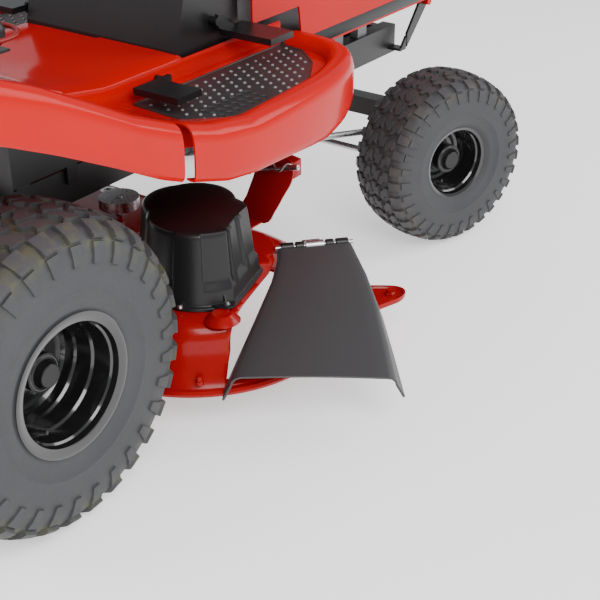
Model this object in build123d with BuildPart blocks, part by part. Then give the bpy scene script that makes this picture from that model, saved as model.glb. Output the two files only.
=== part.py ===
from build123d import *
import os
from math import cos, radians, sin

os.makedirs("parts", exist_ok=True)

# Riding lawn mower, in millimetres. Built with +X forward, +Y to the left and +Z up, with x = 0 at
# the rear axle, y = 0 on the centre line and z = 0 on the ground. The last section moves every
# piece by one offset, so that the origin lies under the middle of the whole machine.

# ---- Driving dimensions ----
wheelbase = 1270
steer_rest = 20                 # degrees that the front wheels are turned to the right at rest
kingpin_y = 300
kingpin_r = 9.5
run_gap = 0.05                  # radial clearance of a running fit
body_gap = 1.0                  # clearance between fixed pieces that don't touch

rear_tyre_r, rear_tyre_w = 254, 203
rear_bead_r, rear_flange_r, rear_flange_u = 101, 114.5, 96
rear_wheel_y = 389
rear_axle_r = 12.7
front_tyre_r, front_tyre_w = 190.5, 152
front_bead_r, front_flange_r, front_flange_u = 76, 89, 63
front_wheel_out = 95            # from the kingpin to the wheel's middle plane, along the spindle
front_axle_r = 9.5
rim_sheet = 3
hub_r = 30

rail_y, rail_t = 165, 4         # inner face of each frame rail and its sheet
rail_flange = 30
rail_z0, rail_z1 = 345, 410
rail_x0, rail_x1 = -210, 1400

skin = 4                        # moulded body panels
fender_y = 490
fender_x0, seam_x, panel_x1 = -330, 270, 940
board_z = 494                   # underside of the footboard mat
board_inner_y = 200

deck_top_z, deck_lip_z = 200, 78
deck_sheet = 3
lobe_r = 255
spindle_right_at = (490, -312)
spindle_left_at = (500, 205)
blade_r = 244
blade_z = 86
spindle_r = 12.5
deck_pulley_r = 62

hinge_start, hinge_end = (622, -412), (706, -490)
hinge_z = 205
chute_run, chute_drop = 300, 91
chute_sheet = 4
hinge_rod_r = 4

column_top = Vector(620, 0, 900)
column_foot = Vector(905, 0, 424)
wheel_rim_r, wheel_grip_r = 170, 13

pieces = {}


def keep(name, built):
    """Label a finished sub-part and keep it for the export at the end."""
    built.part.label = name
    pieces[name] = built.part


def block(low, high, mode=Mode.ADD):
    """A box between two corners."""
    middle = tuple((a + b) / 2 for a, b in zip(low, high))
    with Locations(middle):
        Box(*[b - a for a, b in zip(low, high)], mode=mode)


def rod(start, end, radius, mode=Mode.ADD):
    """A round bar from one point to another."""
    start, end = Vector(start), Vector(end)
    with BuildSketch(Plane(origin=start, z_dir=end - start)) as section:
        Circle(radius)
    extrude(section.sketch, amount=(end - start).length, mode=mode)


def slab(points, z0, z1, mode=Mode.ADD):
    """A flat plate with a straight-sided outline in plan."""
    with BuildSketch(Plane.XY.offset(z0)) as outline:
        with BuildLine():
            Polyline(*points, close=True)
        make_face()
    extrude(outline.sketch, amount=z1 - z0, mode=mode)


def side_plate(points, y0, y1, mode=Mode.ADD):
    """A plate with a straight-sided outline in side view, given as (x, z) points."""
    with BuildSketch(Plane(origin=(0, y1, 0), x_dir=(1, 0, 0), z_dir=(0, -1, 0))) as outline:
        with BuildLine():
            Polyline(*points, close=True)
        make_face()
    extrude(outline.sketch, amount=y1 - y0, mode=mode)


def front_plate(points, x0, x1, mode=Mode.ADD):
    """A plate with a straight-sided outline in front view, given as (y, z) points."""
    with BuildSketch(Plane(origin=(x0, 0, 0), x_dir=(0, 1, 0), z_dir=(1, 0, 0))) as outline:
        with BuildLine():
            Polyline(*points, close=True)
        make_face()
    extrude(outline.sketch, amount=x1 - x0, mode=mode)


def mirrored(points):
    """The same plan points on the other side of the centre line."""
    return [(x, -y) for x, y in points]


# ---- Wheels ----
def wheel_plane(centre, outward):
    """A section plane through the wheel: x runs outward along the axle, y runs up."""
    outward = Vector(outward)
    return Plane(origin=centre, x_dir=outward, z_dir=outward.cross(Vector(0, 0, 1)))


def make_tyre(name, centre, outward, radius, width, bead_r, flange_u):
    """A hollow tyre that turns about the axle, with its beads just inside the rim flanges."""
    plane = wheel_plane(centre, outward)
    half = width / 2
    bead = flange_u - rim_sheet - body_gap
    rise = radius - bead_r
    outer = [(bead, bead_r + 0.3), (bead, bead_r + 0.24 * rise), (half, bead_r + 0.5 * rise),
             (half, bead_r + 0.78 * rise), (half - 0.14 * width, radius - 0.03 * rise), (0, radius)]
    wall = 9
    inner = [(bead - wall, bead_r + 0.3), (bead - wall, bead_r + 0.28 * rise),
             (half - wall, bead_r + 0.5 * rise), (half - wall, bead_r + 0.76 * rise),
             (half - 0.16 * width, radius - 1.8 * wall), (0, radius - 1.6 * wall)]
    left_outer = [(-u, v) for u, v in reversed(outer[:-1])]
    left_inner = [(-u, v) for u, v in inner[:-1]]
    with BuildPart() as tyre:
        with BuildSketch(plane):
            with BuildLine():
                Polyline(*outer, *left_outer, *left_inner, *reversed(inner), close=True)
            make_face()
        revolve(axis=Axis(centre, outward))
    keep(name, tyre)


def make_rim(name, centre, outward, bead_r, flange_r, flange_u, disc_u, hub_u, bore_r):
    """A deep-dish pressed rim: flanges, barrel, disc and hub tube."""
    plane = wheel_plane(centre, outward)
    barrel = bead_r - rim_sheet
    with BuildPart() as rim:
        with BuildSketch(plane):
            for side in (-1, 1):
                with Locations((side * (flange_u - rim_sheet / 2), (barrel + flange_r) / 2)):
                    Rectangle(rim_sheet, flange_r - barrel)
            with Locations((0, bead_r - rim_sheet / 2)):
                Rectangle(2 * flange_u, rim_sheet)
            with Locations((disc_u, (hub_r + barrel) / 2)):
                Rectangle(rim_sheet + 1, barrel - hub_r + 2)
            with Locations(((hub_u[0] + hub_u[1]) / 2, (bore_r + hub_r) / 2)):
                Rectangle(hub_u[1] - hub_u[0], hub_r - bore_r)
        revolve(axis=Axis(centre, outward))
    keep(name, rim)


def make_hub_cap(name, centre, outward, hub_end, face, bore_r):
    """A moulded cap over the end of the hub."""
    plane = wheel_plane(centre, outward)
    with BuildPart() as cap:
        with BuildSketch(plane):
            with BuildLine():
                Polyline((hub_end, bore_r + 1), (hub_end, 27), (face - 4, 21), (face, 18),
                         (face, 0), (face - 4, 0), (face - 4, bore_r + 1), close=True)
            make_face()
        revolve(axis=Axis(centre, outward))
    keep(name, cap)


rear_hub_u = (-45, 34)
rear_cap_face = rear_flange_u - 48
front_hub_u = (-50, 36)
front_cap_face = front_flange_u - 16
turn = radians(steer_rest)
rear_sides = {"right": -1, "left": 1}
front_out = {"right": (-sin(turn), -cos(turn), 0), "left": (sin(turn), cos(turn), 0)}
kingpin_at = {"right": Vector(wheelbase, -kingpin_y, 0), "left": Vector(wheelbase, kingpin_y, 0)}
front_centre = {}
rear_centre = {}

for side, sign in rear_sides.items():
    rear_centre[side] = Vector(0, sign * rear_wheel_y, rear_tyre_r)
    out = (0, sign, 0)
    make_tyre(f"rear_tyre_{side}", rear_centre[side], out, rear_tyre_r, rear_tyre_w, rear_bead_r,
              rear_flange_u)
    make_rim(f"rear_rim_{side}", rear_centre[side], out, rear_bead_r, rear_flange_r,
             rear_flange_u, -12, rear_hub_u, rear_axle_r)
    make_hub_cap(f"rear_hub_cap_{side}", rear_centre[side], out, rear_hub_u[1], rear_cap_face,
                 rear_axle_r)
    with BuildPart() as axle_shaft:
        rod((0, sign * 105, rear_tyre_r), (0, sign * (rear_wheel_y + 40), rear_tyre_r), rear_axle_r)
    keep(f"rear_axle_shaft_{side}", axle_shaft)

for side in ("right", "left"):
    out = Vector(front_out[side])
    front_centre[side] = kingpin_at[side] + out * front_wheel_out + Vector(0, 0, front_tyre_r)
    make_tyre(f"front_tyre_{side}", front_centre[side], out, front_tyre_r, front_tyre_w,
              front_bead_r, front_flange_u)
    make_rim(f"front_rim_{side}", front_centre[side], out, front_bead_r, front_flange_r,
             front_flange_u, -8, front_hub_u, front_axle_r + run_gap)
    make_hub_cap(f"front_hub_cap_{side}", front_centre[side], out, front_hub_u[1], front_cap_face,
                 front_axle_r)

# ---- Front axle and steering ----
beam_z0, beam_z1 = 228, 282
pivot_bolt_r = 10
beam_boss_r = 18
pivot_z = (beam_z0 + beam_z1) / 2
arm_length = 100
arm_z0, arm_z1 = 203, 213
link_pin_r = 5
link_bar_r = 7
link_z = 184
spindle_top = beam_z1 + 14
sector_pivot = (1010, -118)
pitman_z0, pitman_z1 = 296, 306
open_pivot_gap = 7

with BuildPart() as beam:
    block((wheelbase - 20, -kingpin_y + 18, beam_z0 + 8), (wheelbase + 20, kingpin_y - 18, beam_z1 - 6))
    for sign in (-1, 1):
        rod((wheelbase, sign * kingpin_y, beam_z0), (wheelbase, sign * kingpin_y, beam_z1), beam_boss_r)
    rod((wheelbase - 22, 0, pivot_z), (wheelbase + 22, 0, pivot_z), 24)
    for sign in (-1, 1):
        rod((wheelbase, sign * kingpin_y, beam_z0 - 1), (wheelbase, sign * kingpin_y, beam_z1 + 1),
            kingpin_r + run_gap, Mode.SUBTRACT)
    rod((wheelbase - 23, 0, pivot_z), (wheelbase + 23, 0, pivot_z), pivot_bolt_r + run_gap, Mode.SUBTRACT)
keep("front_axle_beam", beam)

arm_way = Vector(-cos(turn), sin(turn), 0)
arm_end = {side: kingpin_at[side] + arm_way * arm_length for side in ("right", "left")}
for side in ("right", "left"):
    pin = kingpin_at[side]
    out = Vector(front_out[side])
    with BuildPart() as spindle:
        rod(pin + Vector(0, 0, 172), pin + Vector(0, 0, spindle_top), kingpin_r)
        rod(pin + Vector(0, 0, 172), pin + Vector(0, 0, beam_z0 - 0.5), 18)
        rod(pin + Vector(0, 0, beam_z1 + 0.5), pin + Vector(0, 0, spindle_top), 15)
        rod(pin + Vector(0, 0, front_tyre_r), front_centre[side] + out * 40, front_axle_r)
        rod(pin + Vector(0, 0, front_tyre_r), front_centre[side] + out * (front_hub_u[0] - 0.5), 14)
        along = Plane(origin=pin + Vector(0, 0, arm_z0), x_dir=arm_way, z_dir=(0, 0, 1))
        with BuildSketch(along):
            with Locations((arm_length / 2, 0)):
                SlotCenterToCenter(arm_length, 28)
            with Locations((arm_length, 0)):
                Circle(link_pin_r + run_gap, mode=Mode.SUBTRACT)
        extrude(amount=arm_z1 - arm_z0)
    keep(f"spindle_{side}", spindle)

with BuildPart() as tie_rod:
    for side in ("right", "left"):
        end = arm_end[side]
        rod(end + Vector(0, 0, link_z), end + Vector(0, 0, arm_z1 + 2), link_pin_r)
        rod(end + Vector(0, 0, link_z - 9), end + Vector(0, 0, link_z + 9), 13)
    rod(arm_end["right"] + Vector(0, 0, link_z), arm_end["left"] + Vector(0, 0, link_z), link_bar_r)
keep("tie_rod", tie_rod)

eye_r = link_pin_r + open_pivot_gap
link_high = arm_z1 + 22
with BuildPart() as drag_link:
    fore = kingpin_at["right"] + arm_way * (arm_length * 0.62)
    aft = Vector(*sector_pivot, 0) + arm_way * (arm_length * 0.62)
    rod(fore + Vector(0, 0, arm_z1 + 0.5), fore + Vector(0, 0, link_high + 10), 11)
    rod(fore + Vector(0, 0, link_high), aft + Vector(0, 0, link_high), link_bar_r)
    rod(aft + Vector(0, 0, link_high - 8), aft + Vector(0, 0, link_high + 8), eye_r + 7)
    rod(aft + Vector(0, 0, link_high - 9), aft + Vector(0, 0, link_high + 9), eye_r, Mode.SUBTRACT)
keep("drag_link", drag_link)

pinion_reach = (Vector(column_foot.X, column_foot.Y, 0) - Vector(*sector_pivot, 0)).length
sector_pin_r = 11
pinion_r = 22
window_gap = 7
ring_r = pinion_reach + pinion_r + window_gap
sector_r = ring_r + 14
window_r = pinion_reach - pinion_r - window_gap
column_axis = (column_top - column_foot).normalized()
with BuildPart() as sector:
    with BuildSketch(Plane(origin=(*sector_pivot, pitman_z0), x_dir=(-cos(turn), sin(turn), 0),
                           z_dir=(0, 0, 1))):
        with BuildLine():
            Polyline((0, -26), (arm_length * 0.62 + 12, -20), (arm_length * 0.62 + 12, 20), (0, 26),
                     close=True)
        make_face()
        Circle(30)
    extrude(amount=pitman_z1 - pitman_z0)
    rod(aft + Vector(0, 0, link_high - 14), aft + Vector(0, 0, pitman_z0), link_pin_r)
    rod((*sector_pivot, pitman_z1), (*sector_pivot, rail_z1 + 22), sector_pin_r)
    with BuildSketch(Plane(origin=(*sector_pivot, rail_z1 + 12), x_dir=(-cos(turn), sin(turn), 0),
                           z_dir=(0, 0, 1))):
        Circle(26)
        with BuildLine():
            Line((0, 0), (sector_r * cos(radians(8)), sector_r * sin(radians(8))))
            CenterArc((0, 0), sector_r, 8, -109)
            Line((sector_r * cos(radians(-101)), sector_r * sin(radians(-101))), (0, 0))
        make_face()
        with BuildLine():
            CenterArc((0, 0), ring_r, -2, -92)
            CenterArc((0, 0), window_r, -2, -92)
            for angle in (-2, -94):
                way = Vector(cos(radians(angle)), sin(radians(angle)))
                Line(way * ring_r, way * window_r)
        make_face(mode=Mode.SUBTRACT)
    extrude(amount=8)
keep("steering_sector", sector)

with BuildPart() as shaft:
    rod(column_foot, column_top - column_axis * 30, 9)
    rod(column_foot, column_foot + column_axis * 24, pinion_r)
keep("steering_shaft", shaft)

wheel_plane_top = Plane(origin=column_top, x_dir=(0, 1, 0), z_dir=column_axis)
with BuildPart() as steering_wheel:
    with BuildSketch(Plane(origin=column_top, x_dir=column_axis, z_dir=(0, 1, 0))):
        with Locations((14, wheel_rim_r)):
            Circle(wheel_grip_r)
    revolve(axis=Axis(column_top, column_axis))
    rod(column_top - column_axis * 30, column_top + column_axis * 12, 38)
    with BuildSketch(wheel_plane_top):
        for angle in (90, 210, 330):
            with Locations(Location((0, 0), angle)):
                with Locations((wheel_rim_r / 2, 0)):
                    Rectangle(wheel_rim_r - 6, 26)
    extrude(amount=9)
    rod(column_top - column_axis * 31, column_top - column_axis * 29.9, 9, Mode.SUBTRACT)
keep("steering_wheel", steering_wheel)

# ---- Frame ----
with BuildPart() as rails:
    for sign in (-1, 1):
        inner, outer = sorted((sign * rail_y, sign * (rail_y + rail_t)))
        flange = sorted((sign * rail_y, sign * (rail_y - rail_flange)))
        block((rail_x0, inner, rail_z0), (rail_x1, outer, rail_z1))
        block((rail_x0, flange[0], rail_z0), (rail_x1, flange[1], rail_z0 + rail_t))
        block((rail_x0, flange[0], rail_z1 - rail_t), (rail_x1, flange[1], rail_z1))
keep("frame_rails", rails)

hood_hinge = (1478, 452)
hood_pin_gap = 0.09
with BuildPart() as members:
    for x0, x1 in ((-205, -165), (150, 190), (wheelbase - 32, wheelbase - 26),
                   (wheelbase + 26, wheelbase + 32), (rail_x1 - 30, rail_x1 - 10)):
        block((x0, -rail_y, rail_z0 + rail_t), (x1, rail_y, rail_z1 - rail_t))
    for x0, x1 in ((wheelbase - 32, wheelbase - 26), (wheelbase + 26, wheelbase + 32)):
        block((x0, -45, pivot_z - 30), (x1, 45, rail_z0 + rail_t + 1))
    rod((wheelbase - 44, 0, pivot_z), (wheelbase + 44, 0, pivot_z), pivot_bolt_r)
    block((sector_pivot[0] - 30, -rail_y, rail_z0 + rail_t), (sector_pivot[0] + 30, rail_y, rail_z0 + 30))
    rod((*sector_pivot, rail_z0), (*sector_pivot, rail_z1), sector_pin_r + run_gap, Mode.SUBTRACT)
    for sign in (-1, 1):
        y0, y1 = sorted((sign * 120, sign * 124))
        block((-130, y0, rail_z1), (250, y1, 520))
    block((-130, -150, 516), (262, 150, 520))
    for x in (-110, 225):
        block((x - 15, -rail_y - rail_t, rail_z1), (x + 15, rail_y + rail_t, rail_z1 + 4))
    for sign in (-1, 1):
        y0, y1 = sorted((sign * (rail_y + rail_t), sign * 200))
        block((1375, y0, rail_z0 + 10), (1400, y1, rail_z0 + 16))
        y2, y3 = sorted((sign * 194, sign * 200))
        side_plate([(1375, rail_z0 + 10), (1400, rail_z0 + 10), (hood_hinge[0] + 13, hood_hinge[1] - 8),
                    (hood_hinge[0] + 12, hood_hinge[1] + 5), (hood_hinge[0] + 3, hood_hinge[1] + 13),
                    (hood_hinge[0] - 12, hood_hinge[1] + 13)], y2, y3)
    rod((hood_hinge[0], -220, hood_hinge[1]), (hood_hinge[0], 220, hood_hinge[1]), 9 + hood_pin_gap,
        Mode.SUBTRACT)
    block((1400, -230, 300), (1404, 230, 400), Mode.SUBTRACT)
keep("frame_crossmembers", members)

hitch_hole_r = 9.75
plate_hole_r = 5.25
plate_hole_gap_y, plate_hole_gap_z = 180, 60
hitch_x = -262
with BuildPart() as hitch:
    block((rail_x0 - 6, -150, 300), (rail_x0 - body_gap, 150, 400))
    block((hitch_x - 30, -40, 300), (rail_x0 - 6, 40, 306))
    with Locations(Plane(origin=(hitch_x, 0, 306), z_dir=(0, 0, 1))):
        Hole(hitch_hole_r, depth=6)
    for y in (-plate_hole_gap_y / 2, plate_hole_gap_y / 2):
        for z in (350 - plate_hole_gap_z / 2, 350 + plate_hole_gap_z / 2):
            rod((rail_x0 - 7, y, z), (rail_x0, y, z), plate_hole_r, Mode.SUBTRACT)
keep("hitch_plate", hitch)

# ---- Transaxle, engine, belts ----
belt_z0, belt_z1 = 318, 331
engine_pulley_r, input_pulley_r = 50, 62
with BuildPart() as transaxle:
    block((-95, -105, 176), (120, 105, 316))
    for sign in (-1, 1):
        rod((0, sign * 100, rear_tyre_r), (0, sign * (rear_wheel_y + rear_hub_u[0] - 10), rear_tyre_r), 26)
        rod((0, sign * 104, rear_tyre_r), (0, sign * rear_wheel_y, rear_tyre_r), rear_axle_r + run_gap,
            Mode.SUBTRACT)
    for sign in (-1, 1):
        block((-40, sign * (rail_y + 12) - 10, rear_tyre_r + 20), (40, sign * (rail_y + 12) + 10, rail_z0))
keep("transaxle", transaxle)

input_at = (60, 0)
with BuildPart() as transaxle_pulley:
    rod((*input_at, belt_z0), (*input_at, belt_z1), input_pulley_r)
    rod((*input_at, 316.5), (*input_at, belt_z1 + 4), 14)
keep("transaxle_pulley", transaxle_pulley)

crank_at = (1170, 0)
engine_foot = rail_z1 + 24
with BuildPart() as engine:
    block((crank_at[0] - 130, -rail_y, engine_foot), (crank_at[0] + 130, rail_y, engine_foot + 16))
    for sign in (-1, 1):
        for x in (crank_at[0] + 5, crank_at[0] + 100):
            block((x - 18, sign * (rail_y - 14) - 10, rail_z1),
                  (x + 18, sign * (rail_y - 14) + 10, engine_foot))
    rod((*crank_at, engine_foot + 16), (*crank_at, engine_foot + 150), 110)
    for sign in (-1, 1):
        rod((crank_at[0] + 60, sign * 40, engine_foot + 90), (crank_at[0] + 130, sign * 110, engine_foot + 90),
            44)
    rod((*crank_at, belt_z1 + 12), (*crank_at, engine_foot + 16), 14)
keep("engine_block", engine)

with BuildPart() as shroud:
    rod((*crank_at, engine_foot + 151), (*crank_at, engine_foot + 245), 150)
    rod((*crank_at, engine_foot + 245), (*crank_at, engine_foot + 262), 110)
    block((crank_at[0] - 60, 60, engine_foot + 151), (crank_at[0] + 110, 168, engine_foot + 230))
keep("engine_shroud", shroud)

with BuildPart() as muffler:
    rod((1402, -135, 530), (1402, 110, 530), 44)
    rod((1402, -110, 490), (1402, -110, 440), 15)
keep("muffler", muffler)

with BuildPart() as engine_pulley:
    rod((*crank_at, belt_z0), (*crank_at, belt_z1), engine_pulley_r)
    rod((*crank_at, belt_z1), (*crank_at, belt_z1 + 11.5), 20)
keep("engine_pulley", engine_pulley)

# ---- Rear fender and footrests ----
def plate_under(points, thickness):
    """Close an open (x, z) line into a strip of even depth below it."""
    return points + [(x, z - thickness) for x, z in reversed(points)]


ridge = [(fender_x0, 752), (-240, 765), (-90, 742), (3, 702), (91, 656), (169, 614), (seam_x, 571)]
lower = [(fender_x0, 668), (-220, 684), (-90, 659), (10, 613), (121, 557), (215, 507), (seam_x, 484)]
fore_ridge = [(seam_x, 571), (348, 547), (450, 529), (560, 526), (650, 522), (740, 518), (panel_x1, 516)]
fore_lower = [(seam_x, 484), (369, 453), (450, 441), (533, 434), (615, 424), (700, 414), (780, 418),
              (850, 432), (panel_x1, 452)]
panel_plan = [(seam_x, -fender_y), (400, -489), (500, -482), (600, -471), (700, -455), (780, -436),
              (850, -408), (900, -368), (930, -310), (panel_x1, -225)]

well_x0, well_half, platform_z = -200, 235, 600
seat_hinge = (238, 618)
seat_pin_r = 5
lug_foot_z = 573
lever_y = -262
with BuildPart() as hollow:
    inside_ridge = [(x, z - skin) for x, z in ridge]
    inside_ridge[0] = (fender_x0 + skin, inside_ridge[0][1])
    side_plate(inside_ridge + [(seam_x, 430), (fender_x0 + skin, 430)], -fender_y + skin, fender_y - skin)
    block((well_x0 - skin, -well_half - skin, platform_z - skin), (seam_x + 1, well_half + skin, 800),
          Mode.SUBTRACT)

with BuildPart() as fender:
    side_plate(ridge + list(reversed(lower)), -fender_y, fender_y)
    block((well_x0, -well_half, platform_z), (seam_x + 1, well_half, 800), Mode.SUBTRACT)
    add(hollow.part, mode=Mode.SUBTRACT)
    block((20, lever_y - 10, 500), (190, lever_y + 10, 800), Mode.SUBTRACT)
    for sign in (-1, 1):
        y0, y1 = sorted((sign * 100, sign * 106))
        block((seat_hinge[0] - 12, y0, lug_foot_z), (seat_hinge[0] + 12, y1, seat_hinge[1] + 9))
    rod((seat_hinge[0], -108, seat_hinge[1]), (seat_hinge[0], 108, seat_hinge[1]), seat_pin_r + run_gap,
        Mode.SUBTRACT)
keep("rear_fender", fender)

seam_gap = 1.5
reverse_pivot = (528, 523)
reverse_pin_r = 6
with BuildPart() as footrest:
    slab(panel_plan + [(panel_x1, 225)] + mirrored(list(reversed(panel_plan)))[1:], 380, 580)
    side_plate(fore_ridge + list(reversed(fore_lower)), -fender_y, fender_y, Mode.INTERSECT)
    inner_plan = [(x - skin * 0.6, y + skin) for x, y in panel_plan]
    inner_plan[0] = (seam_x - 1, inner_plan[0][1])
    inner_all = inner_plan + mirrored(list(reversed(inner_plan)))
    slab(inner_all, 370, 590, Mode.SUBTRACT)
    deck_plan = [(x, y) for x, y in inner_plan if x > seam_x]
    for flip in (1, -1):
        outline = [(seam_x, flip * (-fender_y + skin)), *[(x, flip * y) for x, y in deck_plan],
                   (deck_plan[-1][0], flip * -board_inner_y), (seam_x, flip * -board_inner_y)]
        slab(outline, board_z - skin, board_z)
        block((seam_x, min(flip * board_inner_y, flip * (board_inner_y - skin)), board_z - 60),
              (panel_x1 - 3, max(flip * board_inner_y, flip * (board_inner_y - skin)), board_z + 46))
    block((seam_x - 20, -fender_y, 380), (seam_x + seam_gap, fender_y, 600), Mode.SUBTRACT)
    block((seam_x + seam_gap, -board_inner_y, board_z + 42), (500, board_inner_y, board_z + 46))
    block((panel_x1 - 60, -board_inner_y - 1, 370), (panel_x1 + 1, board_inner_y + 1, 600), Mode.SUBTRACT)
    rod((reverse_pivot[0], -board_inner_y - 1, reverse_pivot[1]), (reverse_pivot[0], -190, reverse_pivot[1]),
        reverse_pin_r + run_gap, Mode.SUBTRACT)
keep("footrest_body", footrest)

mat_plan = [(452, -215), (442, -383), (472, -404), (515, -421), (596, -424), (680, -404), (760, -372),
            (830, -330), (880, -270), (886, -215)]
with BuildPart() as mats:
    for flip in (1, -1):
        slab([(x, flip * y) for x, y in mat_plan], board_z + 0.2, board_z + 6)
        with Locations(Plane.XY.offset(board_z + 6)):
            with Locations((640, flip * -310)):
                with GridLocations(26, 26, 9, 5):
                    Cylinder(4, 2.5, align=(Align.CENTER, Align.CENTER, Align.MIN))
keep("footrest_mats", mats)

insert_ridge = [(-235, 767), (-90, 744.5), (3, 704.5), (60, 674.5)]
with BuildPart() as inserts:
    for y0, y1 in ((-fender_y + 30, -300), (300, fender_y - 30)):
        side_plate(plate_under(insert_ridge, 1.5), y0, y1)
keep("fender_inserts", inserts)

lever_pivot = (105, 470)
lift_pin_r = 9
with BuildPart() as side_panels:
    for sign in (-1, 1):
        y0, y1 = sorted((sign * 178, sign * 182))
        side_plate([(-150, 420), (-150, 588), (100, 588), (262, 520), (262, 476), (380, 470),
                    (400, 420)], y0, y1)
        for x in (-120, 120, 330):
            y2, y3 = sorted((sign * (rail_y + rail_t), sign * 178))
            block((x - 12, y2, 385), (x + 12, y3, 408))
            block((x - 12, sorted((sign * 174, sign * 178))[0], 385),
                  (x + 12, sorted((sign * 174, sign * 178))[1], 440))
    rod((lever_pivot[0], -183, lever_pivot[1]), (lever_pivot[0], -177, lever_pivot[1]), lift_pin_r + run_gap,
        Mode.SUBTRACT)
keep("side_panels", side_panels)

with BuildPart() as battery:
    block((-115, -95, rail_z1 + 6), (75, 95, 512))
    for y in (-60, 60):
        rod((-90, y, 512), (-90, y, 515.5), 8)
keep("battery", battery)

# ---- Mower deck ----
deck_front_x = 745
idler_pivot = (632, 38)
deck_step, deck_step_z = 27, 100
hinge_a, hinge_b = Vector(*hinge_start, hinge_z), Vector(*hinge_end, hinge_z)
hinge_way = (hinge_b - hinge_a).normalized()
chute_flat = Vector(hinge_way.Y, -hinge_way.X, 0)
hinge_mid = (hinge_a + hinge_b) * 0.5
chute_dir = (chute_flat * chute_run - Vector(0, 0, chute_drop)).normalized()
chute_plane = Plane(origin=hinge_mid, x_dir=hinge_way, z_dir=hinge_way.cross(chute_dir) * -1)
chute_slant = (chute_run**2 + chute_drop**2) ** 0.5


def extruded_deck(shrink, z0, z1, mode=Mode.ADD):
    """Two blade lobes joined into one outline with a straight front."""
    right_x, right_y = spindle_right_at
    left_x, left_y = spindle_left_at
    reach = lobe_r - shrink
    with BuildSketch(Plane.XY.offset(z0)) as plan:
        with Locations(spindle_right_at, spindle_left_at):
            Circle(reach)
        with BuildLine():
            Polyline((right_x - 40, right_y), (left_x - reach * 0.94, left_y - 60),
                     (left_x - reach * 0.94, left_y), (left_x, left_y + 60),
                     (deck_front_x - shrink, left_y), (deck_front_x - shrink, right_y), close=True)
        make_face()
    extrude(plan.sketch, amount=z1 - z0, mode=mode)


with BuildPart() as deck:
    extruded_deck(0, deck_lip_z, deck_step_z)
    extruded_deck(deck_step, deck_step_z, deck_top_z)
    extruded_deck(deck_sheet, deck_lip_z - 1, deck_step_z - deck_sheet, Mode.SUBTRACT)
    extruded_deck(deck_step + deck_sheet, deck_step_z - 4, deck_top_z - deck_sheet, Mode.SUBTRACT)
    for at in (spindle_right_at, spindle_left_at):
        rod((*at, deck_top_z - deck_sheet - 2), (*at, deck_top_z), 60)
        rod((*at, deck_top_z - 8), (*at, deck_top_z + 2), 42, Mode.SUBTRACT)
    steep = 0.36
    with BuildPart(mode=Mode.PRIVATE) as outlet:
        with BuildSketch(Plane(origin=hinge_mid + Vector(0, 0, -34), x_dir=hinge_way,
                               z_dir=Vector(chute_flat.X * steep, chute_flat.Y * steep, 1))):
            with BuildLine():
                Polyline((-84, 12), (76, 12), (120, -400), (-290, -400), close=True)
            make_face()
        extrude(amount=200)
        block((0, -900, -200), (1000, 0, deck_step_z), Mode.SUBTRACT)
    add(outlet.part, mode=Mode.SUBTRACT)
    slab([(650, -470), (742, -478), (786, -560), (770, -582), (730, -584), (668, -560)],
         deck_lip_z + 20, deck_lip_z + 24)
    rod((760, -562, deck_lip_z + 18), (760, -562, deck_lip_z + 26), 5, Mode.SUBTRACT)
    rod((*idler_pivot, deck_top_z - 1), (*idler_pivot, deck_top_z + 22), 8)
keep("deck_shell", deck)

housing_top = deck_top_z + 26
with BuildPart() as housings:
    for at in (spindle_right_at, spindle_left_at):
        rod((*at, deck_top_z), (*at, deck_top_z + 8), 56)
        rod((*at, deck_top_z - 40), (*at, housing_top), 30)
        rod((*at, deck_top_z - 41), (*at, housing_top + 1), spindle_r + run_gap, Mode.SUBTRACT)
keep("spindle_housings", housings)

for side, at in (("right", spindle_right_at), ("left", spindle_left_at)):
    with BuildPart() as blade:
        rod((*at, blade_z - 12), (*at, housing_top + 30), spindle_r)
        rod((*at, blade_z - 14), (*at, blade_z), 20)
        rod((*at, blade_z + 6), (*at, deck_top_z - 41), 19)
        rod((*at, housing_top + 2), (*at, housing_top + 22), deck_pulley_r)
        angle = 35 if side == "right" else 125
        with BuildSketch(Plane(origin=(*at, blade_z), x_dir=(cos(radians(angle)), sin(radians(angle)), 0),
                               z_dir=(0, 0, 1))):
            Rectangle(2 * blade_r, 56)
        extrude(amount=5)
    keep(f"blade_{side}", blade)

dome_at, dome_r, dome_top = (442, -362), 108, 342
flange_z = deck_top_z + 2
cover_t = 3
dome_round = 16
chute_side = Location((0, 0, 0), (0, 0, -72.8))
flat_at = 86                    # from the drum's centre to its flat side next to the chute
with BuildPart() as dome:
    for inset, z0, z1, mode in ((0, flange_z, dome_top, Mode.ADD),
                                (cover_t, flange_z - 1, dome_top - dome_round - 1, Mode.SUBTRACT),
                                (dome_round, dome_top - dome_round - 2, dome_top - 3, Mode.SUBTRACT)):
        with BuildSketch(Plane.XY.offset(z0)):
            with Locations(dome_at):
                Circle(dome_r - inset)
            with Locations((442, -290)):
                Rectangle(190 - 2 * inset, 150 - 2 * inset)
            with Locations(spindle_right_at):
                Circle(84 - inset)
            with Locations(Location((*dome_at, 0)) * chute_side * Location((flat_at - inset + 60, 0, 0))):
                Rectangle(120, 260, mode=Mode.SUBTRACT)
        extrude(amount=z1 - z0, mode=mode)
        if mode == Mode.ADD:
            fillet(dome.edges().group_by(Axis.Z)[-1], radius=dome_round)
    with BuildSketch(Plane.XY.offset(flange_z)):
        with Locations(dome_at):
            Circle(dome_r + 7)
            Circle(dome_r - 1, mode=Mode.SUBTRACT)
        with Locations((442, -262)):
            Rectangle(240, 170, mode=Mode.SUBTRACT)
        with Locations(Location((*dome_at, 0)) * chute_side * Location((flat_at + 60, 0, 0))):
            Rectangle(120, 260, mode=Mode.SUBTRACT)
    extrude(amount=5)
keep("belt_cover_right", dome)

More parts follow.
